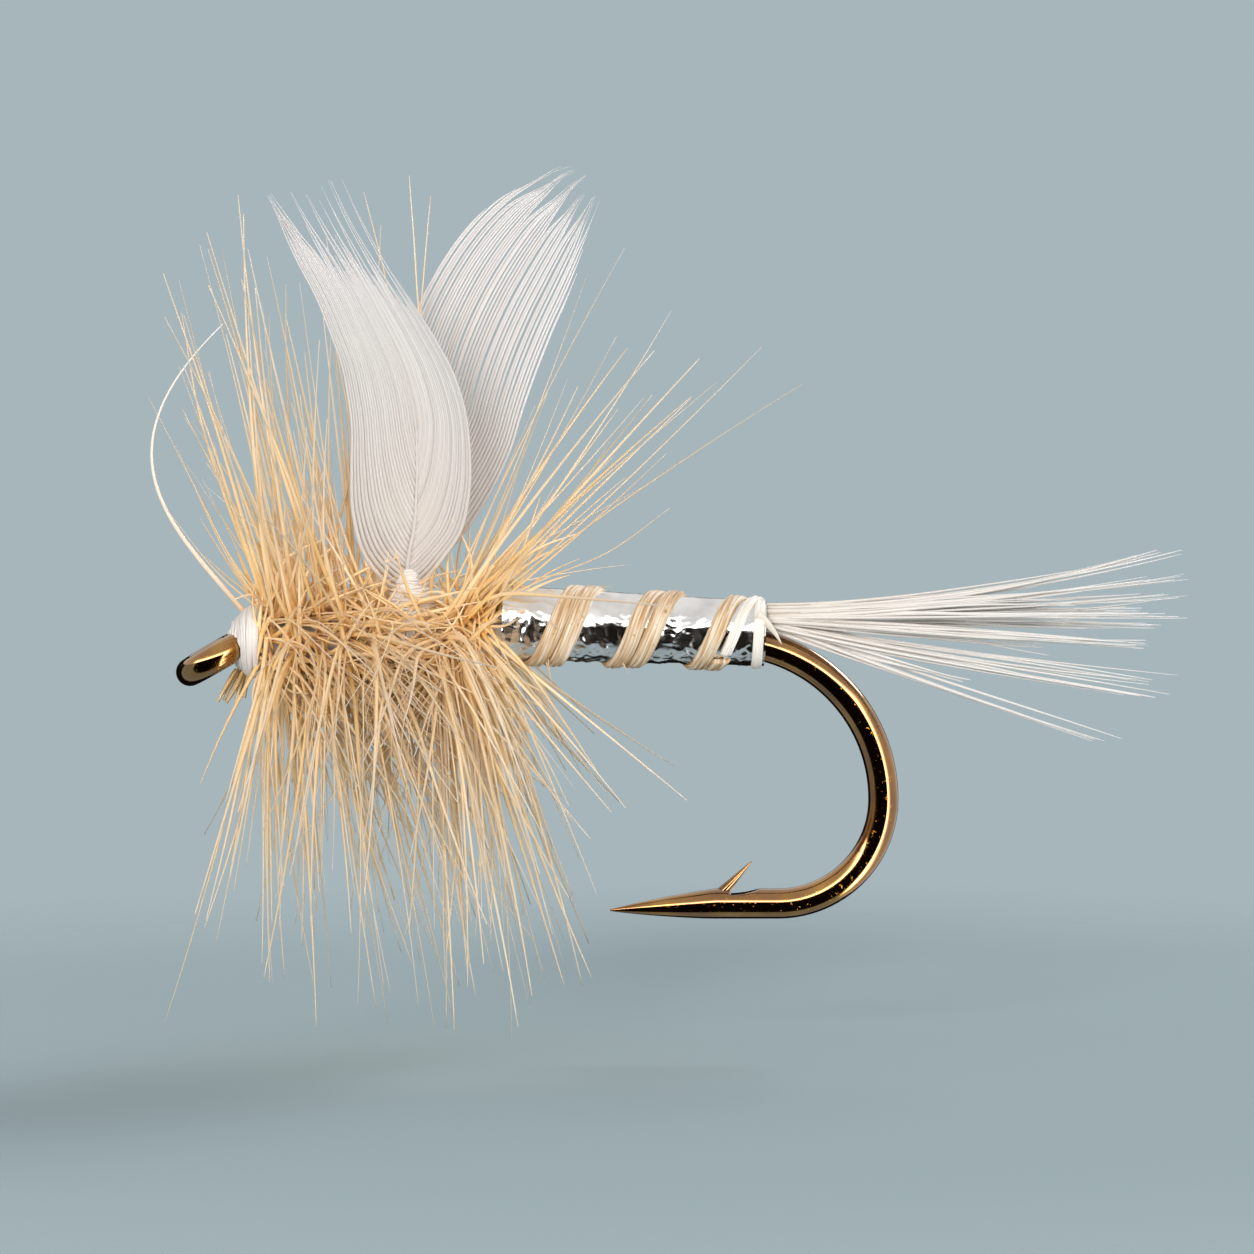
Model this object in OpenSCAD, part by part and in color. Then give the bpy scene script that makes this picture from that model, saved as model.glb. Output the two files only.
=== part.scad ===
// Upright-wing dry fly for trout, tied on a turned-down-eye hook.
// Each strand, feather and winding is its own piece, laid where it is tied.
// The origin is the middle of the hook's eye. +X runs along the shank to the
// tail, +Z runs up to the wings, and all sizes are in millimetres.

/* [Hook] */
// Diameter of the hook wire
wire_d = 0.65; // [0.56:0.01:0.7]
// Distance from the middle of the eye to the start of the bend
shank_len = 11; // [10.4:0.1:13]
// Radius of the upper half of the bend, to the middle of the wire
upper_bend_r = 3.4; // [3.1:0.05:4]
// Radius of the lower half of the bend, to the middle of the wire
lower_bend_r = 2.26; // [2:0.02:2.6]
// Length of the spear, from the end of the bend to the tip of the point
spear_len = 3.62; // [3.2:0.02:4.4]
// Length of the ground taper at the point
point_len = 2.3; // [1.8:0.05:2.6]
// Diameter left at the tip of the point
point_tip_d = 0.05; // [0.03:0.01:0.08]
// Angle by which the point dips below the spear, in degrees
point_dip = 3.6; // [2:0.2:5]
// Length of the raised barb
barb_len = 0.84; // [0.6:0.02:1]
// Thickness of the barb where it leaves the wire
barb_root_d = 0.3; // [0.2:0.01:0.34]
// Angle of the barb above the spear, in degrees
barb_lift = 44; // [36:1:50]
// Depth of the chisel cut that raised the barb
barb_cut_depth = 0.1; // [0.06:0.01:0.14]
// Length of the chisel cut along the wire
barb_cut_len = 0.6; // [0.4:0.05:0.8]

/* [Eye] */
// Diameter of the wire in the eye
eye_wire_d = 0.6; // [0.5:0.01:0.62]
// Diameter of the burnished hole in the eye
eye_hole_d = 0.64; // [0.56:0.02:0.8]
// How deep the burnished land is cut into the ring
eye_land_cut = 0.02; // [0.01:0.005:0.03]
// Angle of the eye below the shank, in degrees
eye_droop = 30; // [22:1:38]
// Radius of the turn from the eye to the shank
neck_r = 0.4; // [0.36:0.01:0.5]
// Width of the seam where the wire comes back round to the neck
eye_seam = 0.03; // [0.02:0.005:0.05]
// Length over which the wire thins from the shank to the eye
neck_taper = 0.5; // [0.3:0.05:0.8]

/* [Body] */
// Distance from the eye to the front end of the body
body_from = 6.2; // [6.1:0.05:6.5]
// How far the body runs past the start of the bend
body_past_bend = 0.85; // [0.6:0.05:0.9]
// Diameter of the floss underbody at its front end
underbody_front_d = 1.53; // [1.48:0.01:1.6]
// Diameter of the floss underbody at its rear end
underbody_rear_d = 1.3; // [1.28:0.01:1.4]
// Floss between the wire and the underside of the body, at each end
floss_cover = 0.04; // [0.03:0.005:0.06]
// Width of the flat tinsel
tinsel_w = 0.85; // [0.6:0.05:1.2]
// Thickness of the flat tinsel
tinsel_t = 0.03; // [0.02:0.005:0.04]
// Gap between neighbouring turns of tinsel
tinsel_gap = 0.015; // [0.01:0.005:0.03]
// Width of one raffia strand of the rib
rib_w = 0.38; // [0.3:0.01:0.42]
// Thickness of one raffia strand of the rib
rib_t = 0.12; // [0.08:0.01:0.16]
// Distance between turns of the rib along the body
rib_pitch = 1.73; // [1.5:0.01:2]

/* [Tail] */
// Number of fibres in the tail
tail_count = 26; // [16:1:30]
// Length of the tail past the body
tail_len = 9.4; // [7:0.1:11]
// Diameter of the bundle where the tail leaves the body
tail_bundle_d = 0.54; // [0.5:0.01:0.56]
// Width the tail fans out to at its end
tail_end_w = 3.35; // [2.2:0.05:3.8]
// How far the end of the tail hangs below its root
tail_sag = 0.15; // [0:0.05:0.4]
// Diameter of one tail fibre at its root
tail_fibre_d = 0.07; // [0.05:0.005:0.075]
// Diameter of the bundle of cut fibre ends inside the body
butts_d = 0.44; // [0.36:0.01:0.48]

/* [Thread] */
// Thickness of the thread layer on the bare shank
thread_build = 0.12; // [0.08:0.01:0.16]
// Outer diameter of the finished thread head
head_d = 1.5; // [1.36:0.02:1.6]
// Length of the thread head along the shank
head_len = 0.7; // [0.6:0.02:0.8]
// Diameter of the thread bump that holds the wings
bump_d = 1.5; // [1.4:0.02:1.6]
// Length of that bump along the shank
bump_len = 0.68; // [0.6:0.02:0.76]
// Diameter of the thread post wound round the roots of the wings
post_d = 1.1; // [1.04:0.02:1.2]
// Height of that post above the bump
post_h = 0.72; // [0.5:0.02:0.9]
// Width of the white strand that ties in the tail
tie_w = 0.2; // [0.14:0.01:0.24]
// Length of that strand's cut end
tag_len = 0.85; // [0.6:0.05:1]

/* [Wings] */
// Distance from the eye to the wings
wing_x = 4.22; // [4.1:0.02:4.3]
// Length of the near wing from its root to its tip
near_wing_len = 8.45; // [7:0.05:9]
// Width of the near wing at its widest
near_wing_w = 2.54; // [2:0.02:2.8]
// Length of the far wing from its root to its tip
far_wing_len = 9.1; // [7:0.05:9.4]
// Width of the far wing at its widest
far_wing_w = 3.1; // [2.6:0.05:3.4]
// Thickness of a wing's vane along its quill
vane_t = 0.1; // [0.09:0.005:0.12]
// How far each wing is cupped across its width
wing_cup = 0.28; // [0.1:0.02:0.36]
// Angle between each wing and the upright, in degrees
wing_spread = 15; // [12:1:18]
// Distance from the middle of the fly to the stem of each wing
wing_gap = 0.24; // [0.2:0.01:0.28]
// Diameter of a wing feather's stem at its root
quill_d = 0.16; // [0.12:0.01:0.2]

/* [Hackle] */
// Diameter of the hackle feather's stem
stem_d = 0.2; // [0.16:0.01:0.22]
// Length of the longest hackle barbs
hackle_reach = 9.4; // [7:0.1:9.6]
// Diameter of a hackle barb at its root
hackle_root_d = 0.07; // [0.05:0.005:0.075]
// Diameter of a hackle or tail barb at its tip
barb_tip_d = 0.025; // [0.02:0.005:0.03]
// Number of barbs on one turn of the hackle
barbs_per_turn = 34; // [24:1:36]
// Turns of hackle in front of the wings
front_turns = 5; // [4:1:5]
// Turns of hackle behind the wings
rear_turns = 4; // [3:1:4]
// Space kept between the hackle and the body
body_space = 0.5; // [0.45:0.05:0.6]
// Height of the long hackle tip that curls up in front of the head
curl_h = 6.2; // [5:0.1:7]
// How far forward that tip swings before it curls back
curl_reach = 3.35; // [2.6:0.05:3.6]
// Diameter of that tip at its root
curl_d = 0.13; // [0.1:0.01:0.16]
// Length of the trimmed hackle butts under the head
trim_len = 0.95; // [0.6:0.05:1.1]
// Diameter of a trimmed butt
trim_d = 0.16; // [0.12:0.01:0.2]

/* [Hidden] */
$fn = 32;

wire_r = wire_d / 2;
fit = 0.01;            // clearance between a winding and what it is wound on
steps_per_turn = 24;   // flats in one turn of a winding

// Hook. Lengths of wire that meet end to end need places that are round numbers.
function rounded(x) = round(x * 10000) / 10000;
eye_r = eye_hole_d / 2 + eye_wire_d / 2 - eye_land_cut;
shank_from = rounded(eye_r * cos(eye_droop) + neck_r * sin(eye_droop));
shank_z = rounded(eye_r * sin(eye_droop) + neck_r * (1 - cos(eye_droop)));
neck_centre = [shank_from, shank_z - neck_r];
bend_z = shank_z - upper_bend_r;
spear_from = shank_len + upper_bend_r - lower_bend_r;
spear_z = bend_z - lower_bend_r;
point_from = spear_from - spear_len + point_len;

// Body, a cone just deep enough to cover the wire at both ends
body_to = shank_len + body_past_bend;
front_r = underbody_front_d / 2;
rear_r = underbody_rear_d / 2;
wire_drop = sqrt(pow(upper_bend_r - wire_r, 2) - pow(body_past_bend, 2));
front_z = shank_z - wire_r - floss_cover + front_r;
rear_z = bend_z + wire_drop - floss_cover + rear_r;
body_tilt = atan((front_z - rear_z) / (body_to - body_from));
body_len = norm([body_to - body_from, front_z - rear_z]);
butts_from = body_from + 0.4;
butts_z = shank_z + wire_r + butts_d / 2;
tail_from = body_to + rear_r * tan(body_tilt) + fit;
function floss_r(s) = front_r + (rear_r - front_r) * s / body_len + fit;
function tinsel_r(s) = floss_r(s) + tinsel_t + fit;

// Rib and tie, given as [place along the body, angle] where each strand ends.
// 180 is the top of the body, 0 its underside and 270 the side of the near wing.
strand_step = rib_w + fit;
front_end_angle = 150;
rear_end_angle = 320;
tie_end_angle = 154;
tag_angle = 235;
front_strand_to = [body_len - 1.3 * rib_w, front_end_angle];
rear_strand_to = [front_strand_to[0] + strand_step
    - rib_pitch * (rear_end_angle - front_end_angle) / 360, rear_end_angle];
tie_to = [front_strand_to[0] + strand_step
    - rib_pitch * (tie_end_angle - front_end_angle) / 360, tie_end_angle];

// Thread and hackle, in layers outwards from the shank
thread_r = wire_r + thread_build;
barb_seat = thread_r + 2 * fit + stem_d;
head_from = shank_from - head_len * 0.6;
head_to = head_from + head_len;
front_from = head_to + fit + stem_d / 2;
front_to = wing_x - bump_len / 2 - fit - stem_d / 2;
rear_from = wing_x + bump_len / 2 + fit + stem_d / 2;
rear_to = body_from - body_space;

// Wings
post_top = shank_z + bump_d / 2 + post_h;
quill_seat = 0.5;      // length of each quill held inside the post
// The curve of each wing in its own plane, as shares of the wing's length
near_curve = [[0, 0], [0.06, 0.4], [0.05, 0.72], [-0.346, 1]];
far_curve = [[0, 0], [0.06, 0.3], [0.15, 0.75], [0.4, 0.99]];
// How fast each wing fills out from its root, and closes in at its tip
near_fill = [0.4, 0.9];
far_fill = [1.0, 0.48];
// The curl of the loose hackle tip, as shares of its height
curl_curve = [[0, 0], [-0.444 * curl_reach / curl_h, 0.287],
    [-curl_reach / curl_h, 0.547], [-0.02, 1.02]];

// ---------- shared forms ----------

// A closed skin through rings of points, each clockwise when seen from the first
module skin(rings) {
    sides = len(rings[0]);
    last = len(rings) - 1;
    walls = [for (i = [0:last - 1]) for (j = [0:sides - 1]) let (k = (j + 1) % sides)
        [i * sides + j, i * sides + k, (i + 1) * sides + k, (i + 1) * sides + j]];
    start_cap = [for (j = [sides - 1:-1:0]) j];
    end_cap = [for (j = [0:sides - 1]) last * sides + j];
    polyhedron([for (ring = rings) for (p = ring) p], concat([start_cap], walls, [end_cap]));
}

// A strip wound round the local Z axis as a left-hand coil, up to to = [place, angle].
// outline holds its [outwards, along] corners, and seat(s) is the radius it lies on.
module winding(from, to, pitch, outline, seat) {
    steps = ceil((to[0] - from) / pitch * steps_per_turn);
    skin([for (i = [0:steps])
        let (along = from + (to[0] - from) * i / steps,
             angle = to[1] + 360 * (to[0] - along) / pitch)
        [for (p = outline) let (s = along + p[1], r = seat(s) + p[0])
            [r * cos(angle), r * sin(angle), s]]]);
}

function strip(w, t) = [[0, -w / 2], [0, w / 2], [t, w / 2], [t, -w / 2]];
function soft_strip(w, t) = [[0, -w * 0.36], [0, w * 0.36], [t * 0.5, w / 2],
    [t, w * 0.3], [t, -w * 0.3], [t * 0.5, -w / 2]];
function round_strip(d, sides) = [for (i = [0:sides - 1]) let (a = -360 * i / sides)
    d / 2 * [1 + cos(a), sin(a)]];

// A cubic curve through its four control points, straight on before its start
function curve(c, t) = t < 0 ? c[0] + 3 * t * (c[1] - c[0])
    : pow(1 - t, 3) * c[0] + 3 * t * pow(1 - t, 2) * c[1]
        + 3 * t * t * (1 - t) * c[2] + pow(t, 3) * c[3];
function along(c, t) = let (d = curve(c, t + 0.01) - curve(c, t)) d / norm(d);

// A round fibre that follows a curve in the XZ plane and thins towards its tip
module curved_fibre(c, length, from, to, d, tip_d, sides, steps) {
    skin([for (i = [0:steps])
        let (t = from + (to - from) * i / steps, p = curve(c, t) * length, v = along(c, t),
             r = (d + (tip_d - d) * i / steps) / 2)
        [for (j = [0:sides - 1]) let (a = 360 * j / sides)
            [p[0] + r * cos(a) * v[1], r * sin(a), p[1] - r * cos(a) * v[0]]]]);
}

// Shares from 0 to 1 that are spread evenly and never repeat
function even(i) = (i * 0.754878) % 1;
function mixed(i) = (i * 0.56984) % 1;

// Turns the local Z axis to a direction
module point_along(v) {
    rotate([0, acos(v[2] / norm(v)), atan2(v[1], v[0])]) children();
}

// Puts the local Z axis on the shank, pointing to the tail, with local -X upwards
module on_shank() {
    translate([0, 0, shank_z]) rotate([0, 90, 0]) children();
}

// Puts the local Z axis on the body's own sloping axis, from its front end
module on_body() {
    translate([body_from, 0, front_z]) rotate([0, 90 + body_tilt, 0]) children();
}

// ---------- hook ----------

// Round wire bent in the XZ plane, through a sweep from a start angle
module bent_wire(centre, r, from, sweep, d) {
    translate([centre[0], 0, centre[1]]) rotate([90, 0, 0]) rotate([0, 0, from])
        rotate_extrude(angle = sweep) translate([r, 0]) circle(d = d);
}

module eye_ring() {
    rotate([0, -eye_droop, 0]) rotate_extrude() translate([eye_r, 0]) circle(d = eye_wire_d);
}

// The hole, and the seam beside the neck where the wire's end comes round
module eye_openings() {
    seam_at = asin(eye_wire_d / 2 / eye_r) + 4;
    rotate([0, -eye_droop, 0]) {
        cylinder(d = eye_hole_d, h = 2 * eye_wire_d, center = true);
        rotate([0, 0, seam_at]) translate([0, -eye_seam / 2, -eye_wire_d])
            cube([eye_r + eye_wire_d, eye_seam, 2 * eye_wire_d]);
    }
}

module neck_and_shank() {
    bent_wire(neck_centre, neck_r, 90, eye_droop, eye_wire_d);
    translate([shank_from, 0, shank_z]) rotate([0, 90, 0]) {
        cylinder(d1 = eye_wire_d, d2 = wire_d, h = neck_taper);
        translate([0, 0, neck_taper])
            cylinder(d = wire_d, h = shank_len - shank_from - neck_taper);
    }
}

module bend() {
    bent_wire([shank_len, bend_z], upper_bend_r, 0, 90, wire_d);
    bent_wire([spear_from, bend_z], lower_bend_r, -90, 90, wire_d);
}

module spear_and_point() {
    translate([point_from, 0, spear_z]) {
        rotate([0, 90, 0]) cylinder(d = wire_d, h = spear_len - point_len);
        sphere(d = wire_d);
        rotate([0, -90 - point_dip, 0]) cylinder(d1 = wire_d, d2 = point_tip_d, h = point_len);
    }
}

// The cut slopes down under the barb, as a chisel leaves it
module barb_cut() {
    translate([point_from + barb_root_d, wire_d, spear_z + wire_r]) rotate([90, 0, 0])
        linear_extrude(2 * wire_d)
            polygon([[0, -barb_cut_depth], [barb_cut_len, 0], [barb_cut_len, wire_d], [0, wire_d]]);
}

module raised_barb() {
    translate([point_from + barb_root_d / 2, 0, spear_z + wire_r - barb_root_d * 0.6])
        rotate([0, 90 - barb_lift, 0]) cylinder(d1 = barb_root_d, d2 = point_tip_d, h = barb_len);
}

module hook() {
    color("darkgoldenrod") {
        difference() {
            eye_ring();
            eye_openings();
        }
        neck_and_shank();
        bend();
        difference() {
            spear_and_point();
            barb_cut();
        }
        raised_barb();
    }
}

// ---------- thread ----------

module shank_thread() {
    color("ivory") on_shank() difference() {
        translate([0, 0, head_to]) cylinder(r = thread_r, h = body_from - head_to);
        cylinder(r = wire_r, h = body_from);
    }
}

// The barrel of thread that holds the butts of the wing feathers
module bump_form() {
    edge = thread_r + 0.12;
    on_shank() translate([0, 0, wing_x - bump_len / 2]) rotate_extrude() polygon([
        [0, 0], [edge, 0], [bump_d / 2, bump_len * 0.3],
        [bump_d / 2, bump_len * 0.7], [edge, bump_len], [0, bump_len]]);
}

module wing_bump() {
    color("white") difference() {
        bump_form();
        on_shank() cylinder(r = thread_r, h = body_from);
    }
}

module thread_head() {
    color("white") difference() {
        on_shank() translate([0, 0, head_from]) rotate_extrude() polygon([
            [0, 0], [wire_r - 0.1, 0], [head_d / 2 - 0.1, head_len * 0.5],
            [head_d / 2, head_len * 0.7], [head_d / 2 - 0.03, head_len], [0, head_len]]);
        neck_and_shank();
        eye_ring();
    }
}

// ---------- body ----------

module butts_form(length) {
    translate([butts_from, 0, butts_z]) rotate([0, 90, 0]) cylinder(d = butts_d, h = length);
}

module tail_butts() {
    color("linen") butts_form(body_to - butts_from);
}

module underbody() {
    color("ivory") difference() {
        on_body() cylinder(r1 = front_r, r2 = rear_r, h = body_len);
        on_shank() cylinder(r = wire_r, h = shank_len);
        bend();
        butts_form(body_len);
    }
}

module tinsel() {
    color("silver") on_body() winding(tinsel_w / 2, [body_len - tinsel_w / 2, 180],
        tinsel_w + tinsel_gap, strip(tinsel_w, tinsel_t), function (s) floss_r(s));
}

module rib_strand_front() {
    color("burlywood") on_body() winding(rib_w / 2 + fit, front_strand_to, rib_pitch,
        soft_strip(rib_w, rib_t), function (s) tinsel_r(s));
}

module rib_strand_rear() {
    color("tan") on_body() winding(rib_w / 2 + fit, rear_strand_to, rib_pitch,
        soft_strip(rib_w, rib_t), function (s) tinsel_r(s));
}

// The white strand takes over where the rear raffia strand ends
module tail_tie() {
    color("white") on_body() winding(rear_strand_to[0] + tie_w / 2, tie_to, rib_pitch,
        soft_strip(tie_w, rib_t), function (s) tinsel_r(s));
}

// The cut end of that strand, lying down over the start of the bend
module tie_tag() {
    root = body_len - tie_w;
    r = tinsel_r(root) + tie_w / 2;
    color("white") on_body() translate([r * cos(tag_angle), r * sin(tag_angle), root])
        point_along([0.62, 0.12, 0.5]) cylinder(d1 = tie_w, d2 = point_tip_d, h = tag_len);
}

module tail_fibres() {
    color("seashell") for (i = [0:tail_count - 1]) {
        out = (tail_bundle_d - tail_fibre_d) / 2 * sqrt((i + 0.5) / tail_count);
        place = out * [cos(137.508 * i), sin(137.508 * i)];
        slope = (tail_end_w - tail_bundle_d) / tail_bundle_d * place - [0, tail_sag];
        translate([tail_from, place[0], butts_z + place[1]])
            point_along([tail_len, slope[0], slope[1]])
                cylinder(d1 = tail_fibre_d, d2 = barb_tip_d, h = tail_len * (0.8 + 0.2 * even(i)));
    }
}

// ---------- wings ----------

// Puts the local XZ plane on a wing, where side is -1 for the near wing and 1 for the far
module on_wing(side) {
    translate([wing_x + side * wing_gap * 0.7, side * wing_gap, post_top])
        rotate([-side * wing_spread, 0, 0]) children();
}

// The quill lies on the inner face of the vane
function quill_y(side) = -side * (vane_t / 2 + quill_d / 2 + fit);

module wing_quill(side, c, length) {
    start = -quill_seat / (3 * norm(c[1]) * length);
    on_wing(side) translate([0, quill_y(side), 0])
        curved_fibre(c, length, start, 0.88, quill_d, 0.04, 8, 14);
}

module quill_hole(side, c) {
    on_wing(side) translate([0, quill_y(side), 0]) rotate([0, atan2(c[1][0], c[1][1]), 0])
        translate([0, 0, -quill_seat - fit]) cylinder(d = quill_d + 2 * fit, h = 2 * quill_seat);
}

// A thin cupped vane, as wide at each height as its fill makes it
module wing_vane(side, c, length, w, fill) {
    widest = (fill[0] + fill[1] * -0.02) / (fill[0] + fill[1]);
    full = pow(widest + 0.02, fill[0]) * pow(1 - widest, fill[1]);
    steps = 16;
    on_wing(side) skin([for (i = [0:steps])
        let (t = 0.03 + 0.965 * i / steps, p = curve(c, t), v = along(c, t),
             half = w / 2 * pow(p[1] + 0.02, fill[0]) * pow(1 - p[1], fill[1]) / full)
        [for (q = concat([for (j = [-3:3]) [j / 3, 1]], [for (j = [3:-1:-3]) [j / 3, -1]]))
            [length * p[0] + q[0] * half * v[1],
             side * wing_cup * pow(q[0], 2) - q[1] * vane_t / 2 * (1 - 0.4 * pow(q[0], 2)),
             length * p[1] - q[0] * half * v[0]]]]);
}

module wing_post() {
    color("white") difference() {
        translate([wing_x, 0, shank_z]) cylinder(d = post_d, h = bump_d / 2 + post_h);
        bump_form();
        quill_hole(-1, near_curve);
        quill_hole(1, far_curve);
    }
}

module near_wing_quill() { color("gainsboro") wing_quill(-1, near_curve, near_wing_len); }
module far_wing_quill() { color("gainsboro") wing_quill(1, far_curve, far_wing_len); }

module near_wing_vane() {
    color("white") wing_vane(-1, near_curve, near_wing_len, near_wing_w, near_fill);
}

module far_wing_vane() {
    color("whitesmoke") wing_vane(1, far_curve, far_wing_len, far_wing_w, far_fill);
}

// ---------- hackle ----------

module hackle_stem(from, to, turns) {
    pitch = (to - from) / turns;
    color("tan") on_shank() winding(from, [to, 0], pitch, round_strip(stem_d, 6),
        function (s) thread_r + fit);
}

// One turn of barbs. lean is the slope to the tail of the barbs that point down, and
// top_lean of those that point up. The barbs part round the two wings.
module hackle_turn(i, from, to, turns, lean, top_lean) {
    parted = [wing_spread - 7, wing_spread + 5];
    step = 360 / barbs_per_turn;
    for (j = [0:barbs_per_turn - 1]) {
        k = barbs_per_turn * i + j;
        place = from + (to - from) * (i - 1 + j / barbs_per_turn) / turns;
        angle = 360 + 0.382 * step * i - step * j;
        up = -cos(angle);
        from_top = abs(angle % 360 - 180);
        slope = lean + (top_lean - lean) * (1 + up) / 2 + 8 * (mixed(k) - 0.5);
        reach = hackle_reach * (0.6 + 0.4 * even(k)) * (0.94 + 0.06 * up);
        seat = barb_seat + abs(sin(slope)) * hackle_root_d / 2;
        if (from_top < parted[0] || from_top > parted[1])
            on_shank() rotate([0, 0, angle]) translate([seat, 0, place])
                rotate([0, 90 - slope, 0])
                    cylinder(d1 = hackle_root_d, d2 = barb_tip_d, h = reach);
    }
}

module front_hackle_stem() { hackle_stem(front_from, front_to, front_turns); }
module rear_hackle_stem() { hackle_stem(rear_from, rear_to, rear_turns); }

// The barbs splay from the head towards the body
module front_hackle_turn(i) {
    share = (i - 1) / (front_turns - 1);
    color("wheat") hackle_turn(i, front_from, front_to, front_turns, -5 + 7 * share, -12 + 13 * share);
}

module rear_hackle_turn(i) {
    share = (i - 1) / (rear_turns - 1);
    color("moccasin") hackle_turn(i, rear_from, rear_to, rear_turns, 3 + 10 * share, 14 + 22 * share);
}

// The stems' cut ends under the head
module hackle_butts() {
    seat = head_d / 2 - 0.1 + fit;
    color("tan") for (i = [0, 1]) on_shank() rotate([0, 0, 14 - 40 * i])
        translate([seat + trim_d / 2, 0, head_from + head_len * (0.5 + 0.2 * i)])
            rotate([0, 122 + 4 * i, 0])
                cylinder(d1 = trim_d, d2 = trim_d * 0.7, h = trim_len * (1 - 0.3 * i));
}

module hackle_curl() {
    root = head_d / 2 - 0.1;
    color("seashell") on_shank() translate([-root - fit - curl_d / 2, 0, head_from + head_len * 0.4])
        rotate([0, -90, 0]) curved_fibre(curl_curve, curl_h, 0, 1, curl_d, barb_tip_d, 8, 18);
}

// ---------- assembly ----------

hook();
shank_thread();
tail_butts();
underbody();
tail_fibres();
tinsel();
rib_strand_front();
rib_strand_rear();
tail_tie();
tie_tag();
wing_bump();
wing_post();
near_wing_quill();
near_wing_vane();
far_wing_quill();
far_wing_vane();
rear_hackle_stem();
front_hackle_stem();
for (i = [1:rear_turns])
    rear_hackle_turn(i);
for (i = [1:front_turns])
    front_hackle_turn(i);
hackle_butts();
hackle_curl();
thread_head();
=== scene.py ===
"""Upright-wing dry fly for trout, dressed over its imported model.

The fly is put together in the order it is tied: hook, thread, tail, body, wings, hackle, head.
Everything is in the model's own frame: the origin is the middle of the hook's eye, +X runs
along the shank to the tail and +Z up to the wings. Sizes are in millimetres until a mesh is made.
"""

import bpy
import numpy as np
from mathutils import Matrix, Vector, noise


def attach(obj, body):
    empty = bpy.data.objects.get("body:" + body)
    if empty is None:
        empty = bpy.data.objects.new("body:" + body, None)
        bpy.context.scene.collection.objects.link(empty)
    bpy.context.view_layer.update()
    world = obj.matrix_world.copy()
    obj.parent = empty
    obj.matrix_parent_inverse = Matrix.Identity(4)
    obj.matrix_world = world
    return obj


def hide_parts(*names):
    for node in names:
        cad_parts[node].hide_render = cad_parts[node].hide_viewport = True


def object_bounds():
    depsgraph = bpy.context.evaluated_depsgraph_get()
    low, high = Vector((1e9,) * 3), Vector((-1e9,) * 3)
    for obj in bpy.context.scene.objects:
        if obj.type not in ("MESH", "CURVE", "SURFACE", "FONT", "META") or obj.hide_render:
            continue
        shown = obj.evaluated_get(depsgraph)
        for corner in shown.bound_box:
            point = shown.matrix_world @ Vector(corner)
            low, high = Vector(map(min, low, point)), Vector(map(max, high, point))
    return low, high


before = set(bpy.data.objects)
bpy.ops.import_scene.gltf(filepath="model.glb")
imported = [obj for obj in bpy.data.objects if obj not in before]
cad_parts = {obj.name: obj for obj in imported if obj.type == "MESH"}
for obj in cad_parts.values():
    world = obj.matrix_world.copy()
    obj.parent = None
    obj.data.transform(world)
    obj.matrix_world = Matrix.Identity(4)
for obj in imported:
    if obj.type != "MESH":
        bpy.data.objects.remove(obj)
cad_box = [list(corner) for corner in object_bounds()]

# ---------- camera ----------
# A long macro lens, square to the side of the fly and a few degrees above it.
lens, film, view_width = 200, 36, 0.02696
aim = Vector((0.00888, 0, 0.00067))
rise = np.radians(4)
away = view_width * lens / film
camera = bpy.data.objects.new("camera", bpy.data.cameras.new("camera"))
camera.data.lens, camera.data.sensor_width = lens, film
camera.data.clip_start, camera.data.clip_end = 0.01, 20
camera.location = aim + away * Vector((0, -np.cos(rise), np.sin(rise)))
camera.rotation_euler = (np.pi / 2 - rise, 0, 0)
bpy.context.collection.objects.link(camera)
bpy.context.scene.camera = camera

# ---------- hook ----------
# A forged trout hook of round high-carbon steel wire, bent cold, its point ground and its
# barb raised with a chisel. The wire's end is closed round into an eye, and the hook is bronzed.
wire_r, eye_wire_r, eye_r, droop, neck_r = 0.325, 0.3, 0.6, np.radians(30), 0.4
shank_z, shank_from, shank_len = 0.3536, 0.7196, 11
upper_r, lower_r = 3.4, 2.26
bend_z = shank_z - upper_r
spear_z, spear_from = bend_z - lower_r, shank_len + upper_r - lower_r
point_from, point_len, dip = 10.82, 2.3, np.radians(3.6)
rng = np.random.default_rng(12)


def linear(hex_colour):
    """An sRGB hex colour as linear RGBA."""
    s = np.array([int(hex_colour[i:i + 2], 16) / 255 for i in (1, 3, 5)])
    return (*np.where(s <= 0.04045, s / 12.92, ((s + 0.055) / 1.055) ** 2.4), 1)


def material(name):
    """A new material, and its Principled shader."""
    made = bpy.data.materials.new(name)
    made.use_nodes = True
    return made, made.node_tree.nodes["Principled BSDF"]


def add(mat, kind, inputs, **settings):
    """Adds a node to a material, or takes one it has, and sets its settings, values and links."""
    n = mat.node_tree.nodes.new("ShaderNode" + kind) if isinstance(kind, str) else kind
    for key, value in settings.items():
        setattr(n, key, value)
    for key, value in inputs.items():
        if isinstance(value, bpy.types.NodeSocket):
            mat.node_tree.links.new(value, n.inputs[key])
        else:
            n.inputs[key].default_value = value
    return n


def colours(mat, share, stops):
    """A colour for each share from 0 to 1, given as (share, hex) stops."""
    ramp = add(mat, "ValToRGB", {"Fac": share})
    while len(ramp.color_ramp.elements) < len(stops):
        ramp.color_ramp.elements.new(0.5)
    for element, (place, hex_colour) in zip(ramp.color_ramp.elements, stops):
        element.position, element.color = place, linear(hex_colour)
    return ramp.outputs["Color"]


def per_mm(size):
    """The scale of a pattern whose features are that many millimetres apart."""
    return 1000 / size


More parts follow.
